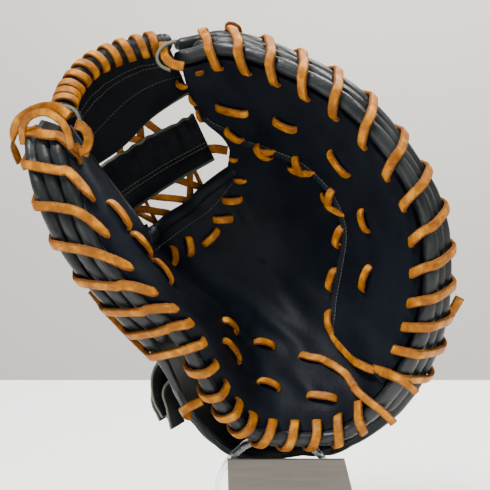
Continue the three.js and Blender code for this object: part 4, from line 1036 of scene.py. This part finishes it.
HOLE_INSET = ROLL_RADIUS + LACE_WALL + 3.6
LACE_LIFT = GAP + LACE_SEAT + LACE_WALL / 2
OVER_PALM = PALM_WALL / 2 + LACE_LIFT
OVER_PANEL = OVER_PALM + GAP + PANEL_WALL


def panel_reach(t):
    return spline(np.array(PANEL_REACH)[:, None], t)[..., 0]


def rim_hole(t, side):
    surface = back_at if side == "back" and not is_heel(t) else palm_at
    at, around, _, front = frame_at(surface, t, inset(surface, t, HOLE_INSET))
    lift = {
        "front": OVER_PANEL if 0 < t < FINGER_END else OVER_PALM,
        "behind": -OVER_PALM,
        "back": -OVER_PALM if is_heel(t) else -(BACK_WALL / 2 + LACE_LIFT),
    }[side]
    return at + front * lift, around


LACE_REACH = ROLL_RADIUS + GAP + 2 * LACE_SEAT + LACE_WALL / 2


def corner_turns(centre, hole, backward, outward, side):
    """The turns of the lace's corners round one roll, from its hole's tangent to the outside."""
    offset = hole - centre
    along = offset @ backward
    above = offset @ outward
    tangent = math.acos(min(1, LACE_REACH / math.hypot(along, above)))
    start = math.atan2(above, -side * along) + tangent
    count = max(1, round((math.pi / 2 - start) / 0.6))
    step = (math.pi / 2 - start) / count
    return [(side, start + step * (k + 0.5), LACE_REACH / math.cos(step / 2)) for k in range(count)]


def wrap(start, end):
    """The stops of one turn over the rolls, from a front hole to the next back hole."""
    heel = is_heel((start + end) / 2)

    def plane(share):
        t = start + (end - start) * share
        front, around, palm_front = roll_place(palm_at, t)
        back = front if heel else roll_place(back_at, t)[0]
        backward = -palm_front if heel else back - front
        backward = unit(backward - around * (backward @ around))
        outward = unit(np.cross(around, backward))
        if outward @ (PALM_MIDDLE - front) > 0:
            outward = -outward
        return front, back, backward, outward, around

    def corner(side, turn, radius, share):
        front, back, backward, outward, around = plane(share)
        centre = front if side > 0 else back
        at = centre - side * radius * math.cos(turn) * backward + radius * math.sin(turn) * outward
        return at, around

    front_hole = rim_hole(start, "front")[0]
    back_hole = rim_hole(end, "back")[0]
    front, _, backward, outward, _ = plane(0.25)
    corners = corner_turns(front, front_hole, backward, outward, 1)
    _, back, backward, outward, _ = plane(0.75)
    corners += corner_turns(back, back_hole, backward, outward, -1)[::-1]
    first = [corner(*each, 0.5)[0] for each in corners]
    run = np.cumsum(np.linalg.norm(np.diff([front_hole, *first, back_hole], axis=0), axis=1))
    return [corner(*each, share) for each, share in zip(corners, run / run[-1])]


def rim_lace_stops(holes, end=None):
    stops = []
    for i, t in enumerate(holes):
        if i > 0:
            stops.append(rim_hole(t, "back"))
            if not is_heel(t):
                stops.append(rim_hole(t, "behind"))
        stops.append(rim_hole(t, "front"))
        after = holes[i + 1] if i + 1 < len(holes) else end
        if after is not None:
            stops += wrap(t, after)
    if end is not None:
        stops.append(rim_hole(end, "back"))
    return stops


def palm_stop(place, course, lift):
    at, _, _, front = frame_at(palm_at, *place)
    return at + front * lift, unit(np.cross(front, course))


def between(start, end, share):
    """The place that is seen a share of the way from one place on the palm to another."""
    (a, b), (c, d) = shares_of(palm_at(*np.transpose([start, end])))
    return find(palm_at, a + (b - a) * share, c + (d - c) * share)


def palm_lace_stops(runs):
    """The visible runs and the stretches behind the palm between them."""
    stops = []
    holes = []
    last = None

    def point(place):
        return palm_at(np.array([place[0]]), np.array([place[1]]))[0]

    def height(place):
        t, s = place
        on_panel = 0 < t < FINGER_END and s - 0.02 < float(panel_reach(t))
        return OVER_PANEL if on_panel else OVER_PALM

    for run in runs:
        places = [find(palm_at, across, up) for across, up in run]
        holes += [point(places[0]), point(places[-1])]
        if last:
            course = point(places[0]) - point(last)
            count = max(2, round(np.linalg.norm(course) / 15) + 1)
            for share in np.linspace(0, 1, count)[1:-1]:
                middle = between(last, places[0], share)
                stops.append(palm_stop(middle, course, -OVER_PALM - LACE_ARCH / 2))
        course = point(places[1]) - point(places[0])
        stops.append(palm_stop(places[0], course, -OVER_PALM))
        stops.append(palm_stop(places[0], course, height(places[0])))
        for first, second in zip(places, places[1:]):
            course = point(second) - point(first)
            middle = between(first, second, 0.5)
            high = max(height(middle), height(first), height(second))
            stops.append(palm_stop(middle, course, high + LACE_ARCH))
            stops.append(palm_stop(second, course, height(second)))
        last = places[-1]
        stops.append(palm_stop(last, course, -OVER_PALM))
    return stops, holes


WIDES = {
    "up": np.array([0.0, 0.0, 1.0]),
    "deep": DEEP,
    "turned": np.array([0.45, 0.77, 0.45]),
    "fold": np.array([-0.46, 0.0, 0.89]),
}


def courses(points):
    """The way a path runs at each of its points."""
    last = len(points) - 1
    return [unit(points[min(last, i + 1)] - points[max(0, i - 1)]) for i in range(last + 1)]


def hand_stops(rows):
    points = [seen(*row[:3]) for row in rows]
    ways = [WIDES.get(row[3], unit(np.cross(along, DEEP))) for along, row in zip(courses(points), rows)]
    return list(zip(points, ways))


# The palm, its panel and the back

palm_laces = {name: palm_lace_stops(runs) for name, runs in PALM_RUNS.items()}
lace_holes = np.array(
    [p for _, holes in palm_laces.values() for p in holes]
    + [rim_hole(t, "front")[0] for t in FINGER_HOLES + THUMB_HOLES]
)


def dimpled(points, depth=HOLE_DIMPLE, width=6.1):
    """How far the leather is drawn in round the lace holes."""
    sunk = np.zeros(points.shape[:-1])
    for hole in lace_holes:
        away = np.linalg.norm(points - hole, axis=-1)
        sunk = np.maximum(sunk, depth * hump(away, 0, width))
    return sunk


def creased(points):
    """How far the soft creases sink the palm."""
    across, up = shares_of(points)
    sunk = np.zeros(points.shape[:-1])
    for x0, y0, x1, y1, width, depth in CREASES:
        dx, dy = x1 - x0, y1 - y0
        share = ((across - x0) * dx + (up - y0) * dy) / (dx * dx + dy * dy)
        along = np.clip(share, 0, 1)
        bow = 0.02 * np.sin(np.pi * along)
        away = np.hypot(across - x0 - dx * along - bow * dy, up - y0 - dy * along + bow * dx) * SPAN
        taper = np.sin(np.pi * np.clip(share, 0.02, 0.98)) ** 0.7
        sunk += depth * hump(away, 0, width) * taper
        sunk -= 0.45 * depth * hump(away, width * 1.7, width) * taper
    return sunk


def palm_relief(points):
    return -dimpled(points) - creased(points)


def smooth_outline(rows, radius=0.03):
    points = np.array([(a, u, 0.0) for a, u, *_ in rows])
    spread = np.array([row[2] for row in rows], float)
    path, place = rounded(points, radius, 6)
    return path[:, 0], path[:, 1], np.interp(place, np.arange(len(rows)), spread)


NOTCH_ACROSS, NOTCH_UP, NOTCH_SPREAD = smooth_outline(NOTCH)


def shell(name, surface, rings, thick, outlines, material, relief=None):
    """A whole bowl of leather with what is cut out of it."""
    t, s, faces = disc_grid(surface, SHELL_COLUMNS, rings)
    for outline in outlines:
        faces = cut_out(surface, t, s, faces, outline)
    at, _, _, front = frame_of(surface, t, s)
    if relief is not None:
        at = at + front * relief(at)[..., None]
    return leather_sheet(name, at + front * thick / 2, at - front * thick / 2, faces, material)


palm = shell("pocket_leather", palm_at, 64, PALM_WALL, [notch_outline], PALM, palm_relief)
dress(palm, "palm_leather", "pocket_shell")
back = shell("back_leather", back_at, 44, BACK_WALL, [notch_outline, hand_hole_outline], SHELL)
dress(back, "shell_leather", "back_shell_fingers", "back_shell_thumb")


def finger_panel():
    """The leather panel along the fingers, with a rounded inner border and a sewn channel."""
    rows = np.linspace(0.06, FINGER_END, 200)
    outer = inset(palm_at, rows, ROLL_RADIUS + GAP)
    inner = panel_reach(rows)
    shares = np.linspace(0, 1, 44) ** 0.9
    s = outer[:, None] + (inner - outer)[:, None] * shares[None, :]
    at, _, _, front = frame_of(palm_at, rows[:, None] + 0 * s, s)
    run = np.linalg.norm(at - at[:, -1:], axis=-1)
    border = np.sqrt(np.clip(1 - (1 - np.clip(run / 3.5, 0, 1)) ** 2, 0, 1))
    groove = 0.7 * hump(run, CHANNEL, 1.1)
    pillow = 0.45 * np.sin(np.pi * np.clip(shares, 0, 1))[None, :] + 1.5 * hump(run, 3.4, 2.2)
    low = PALM_WALL / 2 + GAP * 0.3
    lift = low + (PANEL_WALL + pillow) * border - groove - dimpled(at + front * 4, 0.8, 5.5)
    lift = np.maximum(lift, low + 0.05)
    top = at + front * lift[..., None]
    t = (rows[:, None] + 0 * s).reshape(-1)
    flat = s.reshape(-1)
    faces = cut_out(palm_at, t, flat, grid_faces(*s.shape), notch_outline)
    base, _, _, base_front = frame_of(palm_at, t, flat)
    upper = base + base_front * lift.reshape(-1)[:, None]
    panel = leather_sheet("finger_panel_leather", upper, base + base_front * low, faces, PALM)
    dress(panel, "palm_leather", "finger_panel")
    seam_rows = np.argmin(np.abs(run - CHANNEL), axis=1)
    index = np.arange(len(rows))
    path = top[index, seam_rows] + front[index, seam_rows] * 0.05
    return path, front[index, seam_rows]


panel_seam, panel_seam_normals = finger_panel()


def piping(name, surface, line):
    """A narrow rolled binding along a line seen on a surface."""
    path, _ = rounded(frames_along(surface, line)[0], 5.0)
    path, _ = resampled(path, path, 1.6)
    rng = np.random.default_rng(5)
    knots = rng.uniform(-1, 1, len(path) // 4 + 3)
    radii = PIPING_RADIUS * (1 + 0.1 * wander(knots, len(path), 4))
    return dress(tube(name, path, radii, SHELL, np.tile(DEEP, (len(path), 1)), 10), "shell_leather")


def along_line(rows, count):
    """Places along a smooth line through rows of across and up."""
    rows = np.array(rows, float)
    return spline(rows, np.linspace(0, len(rows) - 1, count))


finger_side = along_line([row[:2] for row in NOTCH[1:7]], 26)
crotch_side = along_line([row[:2] for row in NOTCH[6:11]], 22)
thumb_side = along_line([row[:2] for row in NOTCH[10:15]], 24)


def crotch_hem():
    """The rolled hem along the web's notch, over the palm's edge."""
    at, _, _, front = frames_along(palm_at, crotch_side)
    along = unit(np.gradient(at, axis=0))
    inward = unit(np.cross(along, front))
    inward *= np.sign(np.sum(inward * (PALM_MIDDLE - at), -1, keepdims=True))
    path, wide = resampled(at + inward * 3.6 + front * 0.5, inward, 1.5)
    wave = 1 + 0.05 * np.sin(np.linspace(0, 19, len(path)))
    hem = tube("crotch_hem", path, 4.9 * wave, PALM, wide, 24, 0.74)
    dress(hem, "palm_leather")


crotch_hem()
piping("thumb_binding", palm_at, thumb_side)
piping("finger_binding", palm_at, finger_side[4:])


# The rolls


def lace_rows(holes, share):
    return [a + (b - a) * share for a, b in zip(holes, holes[1:])]


ROLL_SIDES = 30
# How far a lace draws a roll in, over how many rows, and how high and wide its puckers are.
ROLL_PINCH = 0.13
PINCH_ROWS = 0.085
ROLL_PUCKER = 0.24
PUCKER_ROWS = 0.2


def roll(name, place_at, start, end, radius_of, share, node):
    """A rolled rim, drawn in and puckered under each lace and swelling between them."""
    rows = np.linspace(start, end, int((end - start) * 42))
    path, across = place_at(rows)
    thumb_holes = [*THUMB_HOLES, THUMB_LACE_END]
    laces = np.array(lace_rows(FINGER_HOLES[::-1], share) + lace_rows(thumb_holes, share))
    nearest = np.argmin(np.abs(rows[:, None] - laces[None, :]), axis=1)
    away = np.abs(rows - laces[nearest])
    drawn = 1 - ROLL_PINCH * hump(away, 0, PINCH_ROWS) + 0.03 * np.clip(away / 0.25, 0, 1)
    rng = np.random.default_rng(len(name))
    knots = rng.uniform(-1, 1, len(rows) // 6 + 4)
    radii = radius_of(rows) * drawn * (1 + 0.03 * wander(knots, len(rows), 6))
    ends = np.minimum(rows - start, end - rows) / 0.12
    radii = radii * (0.72 + 0.28 * np.clip(ends, 0, 1) ** 0.5)
    turn = 2 * np.pi * np.arange(ROLL_SIDES) / ROLL_SIDES
    phase = rng.uniform(0, 2 * np.pi, (len(laces), 2))
    drift = 0.8 * np.sin(rows * 2.3 + len(name))[:, None]
    pucker = np.sin(5 * turn[None, :] + phase[nearest, 0][:, None] + drift)
    pucker = pucker + 0.6 * np.sin(9 * turn[None, :] + phase[nearest, 1][:, None] - drift)
    fading = hump(away, 0, PUCKER_ROWS)[:, None]
    long_fold = 0.22 * np.sin(3 * turn[None, :] + 1.7 * np.sin(rows * 0.9)[:, None])
    relief = (ROLL_PUCKER * pucker * fading + long_fold) * ROLL_RADIUS / 5
    return dress(tube(name, path, radii, ROLL, across, ROLL_SIDES, 1.0, relief), "roll_leather", node)


def midway(*surfaces):
    """Places midway between surfaces' rims, and the first one's front there."""

    def places(rows):
        _, _, _, front = frame_of(surfaces[0], rows, np.full(rows.shape, AT_ROLL))
        return sum(surface(rows, 0 * rows) for surface in surfaces) / len(surfaces), front

    return places


roll("front_roll", midway(palm_at), -0.05, 17.1, full_radius, 0.25, "rim_roll_front")
middle_rims = midway(palm_at, back_at)
roll("middle_roll_fingers", middle_rims, 0.4, 8.1, full_radius, 0.5, "rim_roll_middle_fingers")
roll("middle_roll_thumb", middle_rims, 13.15, 17.05, full_radius, 0.5, "rim_roll_middle_thumb")
roll("back_roll", midway(back_at), -0.05, 17.1, back_radius, 0.72, "rim_roll_back")


# The laces


def lace(name, stops, node, width=VISIBLE_LACE, **more):
    return dress(strip(name, stops, LACE, width, **more), "lace", *([node] if node else []))


RIM_LOOK = {"radius": 0, "thick": 2.6, "faced": "outside"}
finger_stops = rim_lace_stops(FINGER_HOLES[::-1])
thumb_stops = rim_lace_stops(THUMB_HOLES, THUMB_LACE_END)
lace("finger_rim_lace", finger_stops, "rim_lace_fingers", seed=2, **RIM_LOOK)
lace("thumb_rim_lace", thumb_stops, "rim_lace_thumb", seed=3, **RIM_LOOK)
for number, (name, (stops, holes)) in enumerate(palm_laces.items()):
    pinched = 0.6 if name in ("finger_lace", "border_lace", "thumb_edge_lace") else 0.88
    look = {"width": 5.2 / pinched**0.25, "pinches": np.array(holes), "pinched": pinched}
    lace(name + "_strip", stops, name, radius=3.6, faced="eye", seed=10 + number, **look)
for number, (name, rows) in enumerate(HAND_LACES.items()):
    lace(name + "_strip", hand_stops(rows), name, radius=0, faced="eye", seed=30 + number)


# Stubs beside the web: across and up of both ends on the palm, and the width.
PALM_STUBS = [
    ((-0.151, 0.364), (-0.126, 0.356), 6.4),
    ((-0.121, 0.334), (-0.106, 0.314), 4.6),
    ((-0.104, 0.304), (-0.094, 0.276), 3.6),
    ((-0.033, 0.196), (-0.016, 0.192), 5.4),
    ((-0.024, 0.148), (0.004, 0.145), 5.0),
]
# Short laces across the panel's border.
BORDER_CROSSINGS = [
    [(0.024, 0.222), (0.076, 0.218)],
    [(0.102, 0.18), (0.167, 0.169)],
    [(0.178, 0.12), (0.233, 0.071)],
]


def on_palm(across, up, lift):
    at, _, _, front = frame_at(palm_at, *find(palm_at, across, up))
    return at + front * lift, front


def short_lace(name, ends, width, arch, seed, base=PALM_WALL / 2):
    """A short lace lying on the palm, its ends going into the leather."""
    shares = (0, 0.12, 0.5, 0.88, 1)
    rises = (-1.5, 1.0, 1.0 + arch, 1.0, -1.5)
    places = []
    for share, rise in zip(shares, rises):
        across = ends[0][0] + (ends[1][0] - ends[0][0]) * share
        up = ends[0][1] + (ends[1][1] - ends[0][1]) * share
        places.append(on_palm(across, up, base + rise))
    along = unit(places[-1][0] - places[0][0])
    stops = [(at, unit(np.cross(along, front))) for at, front in places]
    pinches = np.array([places[0][0], places[-1][0]])
    lace(name, stops, None, width=width, thick=1.8, radius=2.0, pinches=pinches, faced="eye", seed=seed)


# The second strand and the stub at the thumb's tip: across, up, deep.
TIP_STRANDS = {
    "tip_strand_inner": [
        (-0.492, 0.225, -0.42),
        (-0.496, 0.26, -0.48),
        (-0.478, 0.286, -0.53),
        (-0.448, 0.296, -0.57),
        (-0.42, 0.284, -0.61),
        (-0.4, 0.262, -0.63),
        (-0.39, 0.232, -0.64),
        (-0.386, 0.215, -0.62),
    ],
    "tip_stub": [(-0.378, 0.222, -0.6), (-0.362, 0.206, -0.58), (-0.348, 0.203, -0.56)],
}
for number, (name, rows) in enumerate(TIP_STRANDS.items()):
    stops = hand_stops([(*row, "") for row in rows])
    lace(name, stops, None, width=5.0, radius=0, faced="eye", seed=40 + number)
for number, (low, high, width) in enumerate(PALM_STUBS):
    short_lace(f"web_stub_{number}", (low, high), width, 0.6, 80 + number)
# The break laces' ends: across and up on the palm, then across, up and deep over the rolls.
BREAK_ENDS = [
    ([(0.246, -0.32), (0.28, -0.347)], [(0.312, -0.376, -0.43), (0.33, -0.396, -0.4)]),
    ([(0.296, -0.276)], [(0.332, -0.29, -0.46), (0.362, -0.31, -0.475), (0.38, -0.328, -0.43)]),
]
for number, (low, high) in enumerate(BREAK_ENDS):
    points = [on_palm(*row, 4.5)[0] for row in low] + [seen(*row) for row in high]
    ways = np.gradient(np.array(points), axis=0)
    stops = [(at, unit(np.cross(way, DEEP))) for at, way in zip(points, ways)]
    lace(f"break_end_{number}", stops, None, width=5.4, radius=0, faced="eye", seed=96 + number)
for number, ends in enumerate(BORDER_CROSSINGS):
    on_panel = PALM_WALL / 2 + PANEL_WALL
    short_lace(f"border_crossing_{number}", ends, 5.4, 1.6, 90 + number, on_panel)


# The web


def band_surface(rows, start=0.0):
    table = np.array(rows)

    def at(u, v):
        u, v = np.broadcast_arrays(np.asarray(u, float), np.asarray(v, float))
        row = spline(table, u * (len(table) - 1))
        share = start + (1 - start) * v
        bow = BAND_BULGE * 4 * v * (1 - v)
        across, up, deep = (row[..., k] + (row[..., k + 3] - row[..., k]) * share for k in range(3))
        return seen(across, up, deep + bow)

    return at


top_band_at = band_surface(TOP_BAND, BAND_TUCK)
middle_band_at = band_surface(MIDDLE_BAND)


def band(name, surface, node, seams, ripple):
    """A sueded band with cut edges and rows of stitches along it; seams are shares down its width."""
    u, v = np.meshgrid(np.linspace(0, 1, 110), np.linspace(0, 1, 40), indexing="ij")
    at, _, _, front = frame_of(surface, u, v)
    crumple = np.sin(u * 31 + v * 9) * np.sin(u * 13 - v * 14 + 1) + 0.6 * np.sin(u * 57 + 3 * v)
    wave = ripple * (np.sin(u * 23 + v * 3) * np.sin(v * np.pi) * 0.5 + crumple * (1 - v) ** 1.5)
    groove = sum(0.45 * hump(v, seam, 0.025) for seam in seams)
    edge_soft = 0.35 * hump(1 - np.abs(2 * v - 1), 0, 0.05)
    top = at + front * (BAND_WALL / 2 + wave - groove - edge_soft)[..., None]
    low = at - front * (BAND_WALL / 2 - wave)[..., None]
    rim = np.full(u.shape, 0.6)
    rim[1:-1, 1:-1] = 0
    piece = slab(name, top, low, WEB_CUT, edge=np.tile(rim.reshape(-1), 2), sharp=SHEET_FOLD)
    dress(piece, "web_leather", node)
    for k, seam in enumerate(seams):
        j = round(seam * 39)
        path = top[:, j] + front[:, j] * 0.05
        dress(stitches(f"{name}_seam_{k}", path, front[:, j]), "web_leather")


WEB_COLOURS = ((0.0012, 0.0017, 0.0028), (0.005, 0.006, 0.0078))
WEB_CUT = leather("web leather", *WEB_COLOURS, 0.6, 0.82, 0.1, 0.5, (0.12, 0.12, 0.095))
band("top_band", top_band_at, "web_top_band", (0.24, 0.31, 0.58), 0.5)
band("middle_band", middle_band_at, "web_middle_band", (0.62, 0.7), 0.9)


def top_roll_frames(shares):
    rows = np.array([seen(*row) for row in TOP_ROLL])
    last = len(rows) - 1
    at = spline(rows, shares * last)
    along = unit(spline(rows, (shares + 0.01) * last) - spline(rows, (shares - 0.01) * last))
    side = unit(np.cross(DEEP, along))
    return at, along, side, unit(np.cross(along, side))


def web_top():
    """The rolled top of the web and the lace wound round it."""
    shares = np.linspace(0, 1, 90)
    at, _, side, _ = top_roll_frames(shares)
    radii = WEB_ROLL_RADIUS * (1 + 0.03 * np.sin(shares * 95))
    dress(tube("web_roll", at, radii, CUT, side, 22), "web_leather", "web_top_roll")
    turns = TOP_LACE_TURNS * 20
    share = np.linspace(0, 1, turns + 1)
    at, along, side, back_way = top_roll_frames(0.05 + 0.84 * share**1.2)
    turn = 2 * np.pi * TOP_LACE_TURNS * share
    lift = side * np.cos(turn)[:, None] + back_way * np.sin(turn)[:, None]
    path = at + lift * (WEB_ROLL_RADIUS + GAP + LACE_WALL / 2)
    lace("web_wound_lace", list(zip(path, along)), "web_top_lace", width=5.4, radius=2.0, seed=50)


web_top()


# Curled leather at the web roll's ends: across, up, deep.
CURLS = {
    "curl_finger": [
        (-0.156, 0.452, -0.15),
        (-0.176, 0.444, -0.16),
        (-0.19, 0.43, -0.16),
        (-0.194, 0.414, -0.16),
        (-0.186, 0.398, -0.16),
        (-0.166, 0.388, -0.16),
    ],
    "curl_thumb": [
        (-0.418, 0.31, -0.47),
        (-0.39, 0.307, -0.48),
        (-0.372, 0.294, -0.48),
        (-0.363, 0.272, -0.48),
    ],
}
for number, (name, rows) in enumerate(CURLS.items()):
    stops = [(seen(*row), DEEP) for row in rows]
    curl = strip(name, stops, CUT, 11.0, 2.2, 0, seed=70 + number)
    dress(curl, "shell_leather")


def web_lattice(rows):
    behind = BAND_WALL / 2 + LACE_LIFT
    places = []
    for on, across, up, deep in rows:
        if not on:
            places.append((seen(across, up, deep), -DEEP))
            continue
        surface = top_band_at if on == "top" else middle_band_at
        t, s = find(surface, across, up, 1.0, 1.0, 0.1)
        at, _, _, front = frame_at(surface, t, min(0.98, s))
        places.append((at - front * behind, front))
    ways = courses([at for at, _ in places])
    return [(at, unit(np.cross(along, front))) for along, (at, front) in zip(ways, places)]


lace("upper_lattice", web_lattice(UPPER_WEB_LACE), "web_lace_upper", width=5.2, radius=3.0, seed=60)
lace("lower_lattice", web_lattice(LOWER_WEB_LACE), "web_lace_lower", width=5.2, radius=3.0, seed=61)


# The stall wall, the wrist and the back's trim


def stall_wall():
    line = along_line(WALL_LINE, 60)
    near, far = (frames_along(surface, line)[0] for surface in (palm_at, back_at))
    clear = unit(far - near) * (PALM_WALL / 2)
    near, far = near + clear, far - clear
    share = np.linspace(0, 1, 14)[None, :, None]
    middle = near[:, None] + (far - near)[:, None] * share
    out = unit(np.cross(np.gradient(near, axis=0), far - near))[:, None]
    wave = 0.8 * np.sin(np.linspace(0, 17, 60))[:, None, None] * np.sin(np.pi * share)
    outer, inner = middle + out * (BACK_WALL / 2 + wave), middle - out * (BACK_WALL / 2 - wave)
    dress(slab("stall_leather", outer, inner, SHELL), "shell_leather", "stall_wall")


stall_wall()


def wrist_strap():
    rows = np.linspace(WRIST_FROM, WRIST_TO, 90)
    low = inset(back_at, rows, WRIST_INSET)
    high = inset(back_at, rows, WRIST_INSET + STRAP_WIDTH)
    share = np.linspace(0, 1, 22)
    s = low[:, None] + (high - low)[:, None] * share
    at, _, _, front = frame_of(back_at, rows[:, None] + 0 * s, s)
    lift = BACK_WALL / 2 + 4 * GAP
    soft = 0.5 * hump(1 - np.abs(2 * share - 1), 0, 0.08)[None, :, None]
    groove = 0.3 * hump(share, 0.14, 0.03) + 0.3 * hump(share, 0.86, 0.03)
    outer = at - front * (lift + STRAP_WALL) + front * (soft + groove[None, :, None])
    piece = slab("wrist_strap_leather", at - front * lift, outer, SHELL, sharp=SHEET_FOLD)
    dress(piece, "shell_leather", "wrist_strap")
    for k, j in enumerate((3, 18)):
        dress(stitches(f"wrist_seam_{k}", outer[:, j], -front[:, j]), "shell_leather")


wrist_strap()


# Flaps beside the wrist tab: across, up and deep along each, and its width.
WRIST_FLAPS = [
    ([(-0.15, -0.24, 0.0), (-0.182, -0.28, -0.02), (-0.184, -0.33, -0.03), (-0.165, -0.37, -0.02)], 17.0),
    ([(-0.14, -0.29, -0.06), (-0.166, -0.32, -0.08), (-0.16, -0.36, -0.08), (-0.15, -0.4, -0.05)], 12.0),
    ([(-0.16, -0.26, 0.05), (-0.19, -0.3, 0.03), (-0.196, -0.345, 0.03), (-0.18, -0.385, 0.04)], 9.0),
]


def wrist_tab():
    at, _, _, front = frame_at(back_at, *TAB_START)
    root = at - front * (BACK_WALL / 2 + 5 * GAP + STRAP_WALL)
    points = [root] + [seen(*row) for row in TAB_LINE]
    stops = [(point, DEEP) for point in points]
    piece = strip("wrist_tab_leather", stops, CUT, STRAP_WIDTH * 0.8, STRAP_WALL, 9.0)
    dress(piece, "shell_leather", "wrist_tab")
    for number, (rows, width) in enumerate(WRIST_FLAPS):
        stops = [(seen(*row), np.array([0.75, 0.62, 0.2])) for row in rows]
        flap = strip(f"wrist_flap_{number}", stops, CUT, width, 2.4, 0, seed=75 + number)
        dress(flap, "shell_leather")


wrist_tab()


def seam_on(name, surface, line, side, thick):
    """Stitches along a line on one face of a surface."""
    at, _, _, front = frames_along(surface, along_line(line, 60))
    normal = front * side
    path = at + normal * (thick / 2 + 0.05)
    dress(stitches(name, path, normal), "shell_leather")


piping("hand_hole_binding", back_at, list(zip(*hand_hole_ring(np.linspace(0, 2 * np.pi, 40)))))
BACK_SEAMS = [
    [(0.02, -0.1), (-0.02, 0.1), (-0.03, 0.3), (-0.02, 0.42)],
    [(0.12, -0.1), (0.17, 0.1), (0.19, 0.28)],
    [(-0.08, -0.14), (-0.17, -0.06), (-0.26, 0.02), (-0.35, 0.14)],
]
for number, line in enumerate(BACK_SEAMS):
    seam_on(f"back_seam_{number}", back_at, line, -1, BACK_WALL)
CROTCH_SEAM = [(-0.204, -0.013), (-0.122, 0.049), (-0.078, 0.082), (-0.029, 0.138)]
seam_on("crotch_seam", palm_at, CROTCH_SEAM, 1, PALM_WALL)
dress(stitches("panel_seam", panel_seam[4:-4], panel_seam_normals[4:-4]), "palm_leather")


# The stand

for name, material in (("stand_base", ACRYLIC), ("stand_loop", ACRYLIC), ("stand_plate", PLATE)):
    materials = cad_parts[name].data.materials
    materials.clear()
    materials.append(material)


# The floor, the wall behind it, the camera and the lights

LENS = 91.8
SENSOR_WIDTH = 36
TABLE_END = 610.0
WALL_Y = 2200.0
WALL_LOW = -1500.0
FAR = 3500.0
FLOOR = [(-FAR, -FAR, 0), (FAR, -FAR, 0), (FAR, TABLE_END, 0), (-FAR, TABLE_END, 0)]
WALL = [(-FAR, WALL_Y, WALL_LOW), (FAR, WALL_Y, WALL_LOW), (FAR, WALL_Y, FAR), (-FAR, WALL_Y, FAR)]
floor = make("floor", FLOOR, [(0, 1, 2, 3)], backdrop("floor white", (0.97, 0.97, 0.965)), smooth=False)
wall = make("wall", WALL, [(0, 1, 2, 3)], backdrop("wall grey", (0.86, 0.825, 0.77)), smooth=False)

camera = bpy.data.objects.new("camera", bpy.data.cameras.new("camera"))
bpy.context.scene.collection.objects.link(camera)
camera.location = EYE * MM
camera.rotation_euler = (math.radians(90) - EYE_TILT, 0, 0)
camera.data.lens = LENS
camera.data.sensor_width = SENSOR_WIDTH
bpy.context.scene.camera = camera


def area_light(name, place, target, size, power, colour=(1, 1, 1)):
    data = bpy.data.lights.new(name, "AREA")
    data.shape = "DISK"
    data.size = size
    data.energy = power
    data.color = colour
    obj = bpy.data.objects.new(name, data)
    obj.location = place
    obj.rotation_euler = (Vector(target) - Vector(place)).to_track_quat("-Z", "Y").to_euler()
    bpy.context.scene.collection.objects.link(obj)


middle = (0, 0, 0.23)
area_light("key", (-0.55, -0.45, 1.35), middle, 0.45, 33, (1, 0.985, 0.96))
area_light("top", (0.45, 0.1, 1.4), middle, 0.45, 26, (1, 0.98, 0.95))
area_light("wall", (0.5, 0.9, 1.9), (0.45, WALL_Y * MM, 0.5), 0.8, 60, (1, 0.965, 0.91))
area_light("fill", (0.9, -1.1, 0.6), middle, 0.8, 4, (0.97, 0.98, 1))
world = bpy.data.worlds.new("studio")
world.use_nodes = True
sky = world.node_tree.nodes["Background"]
feed(world.node_tree, sky, Color=(0.9, 0.92, 0.95, 1), Strength=0.52)
bpy.context.scene.world = world
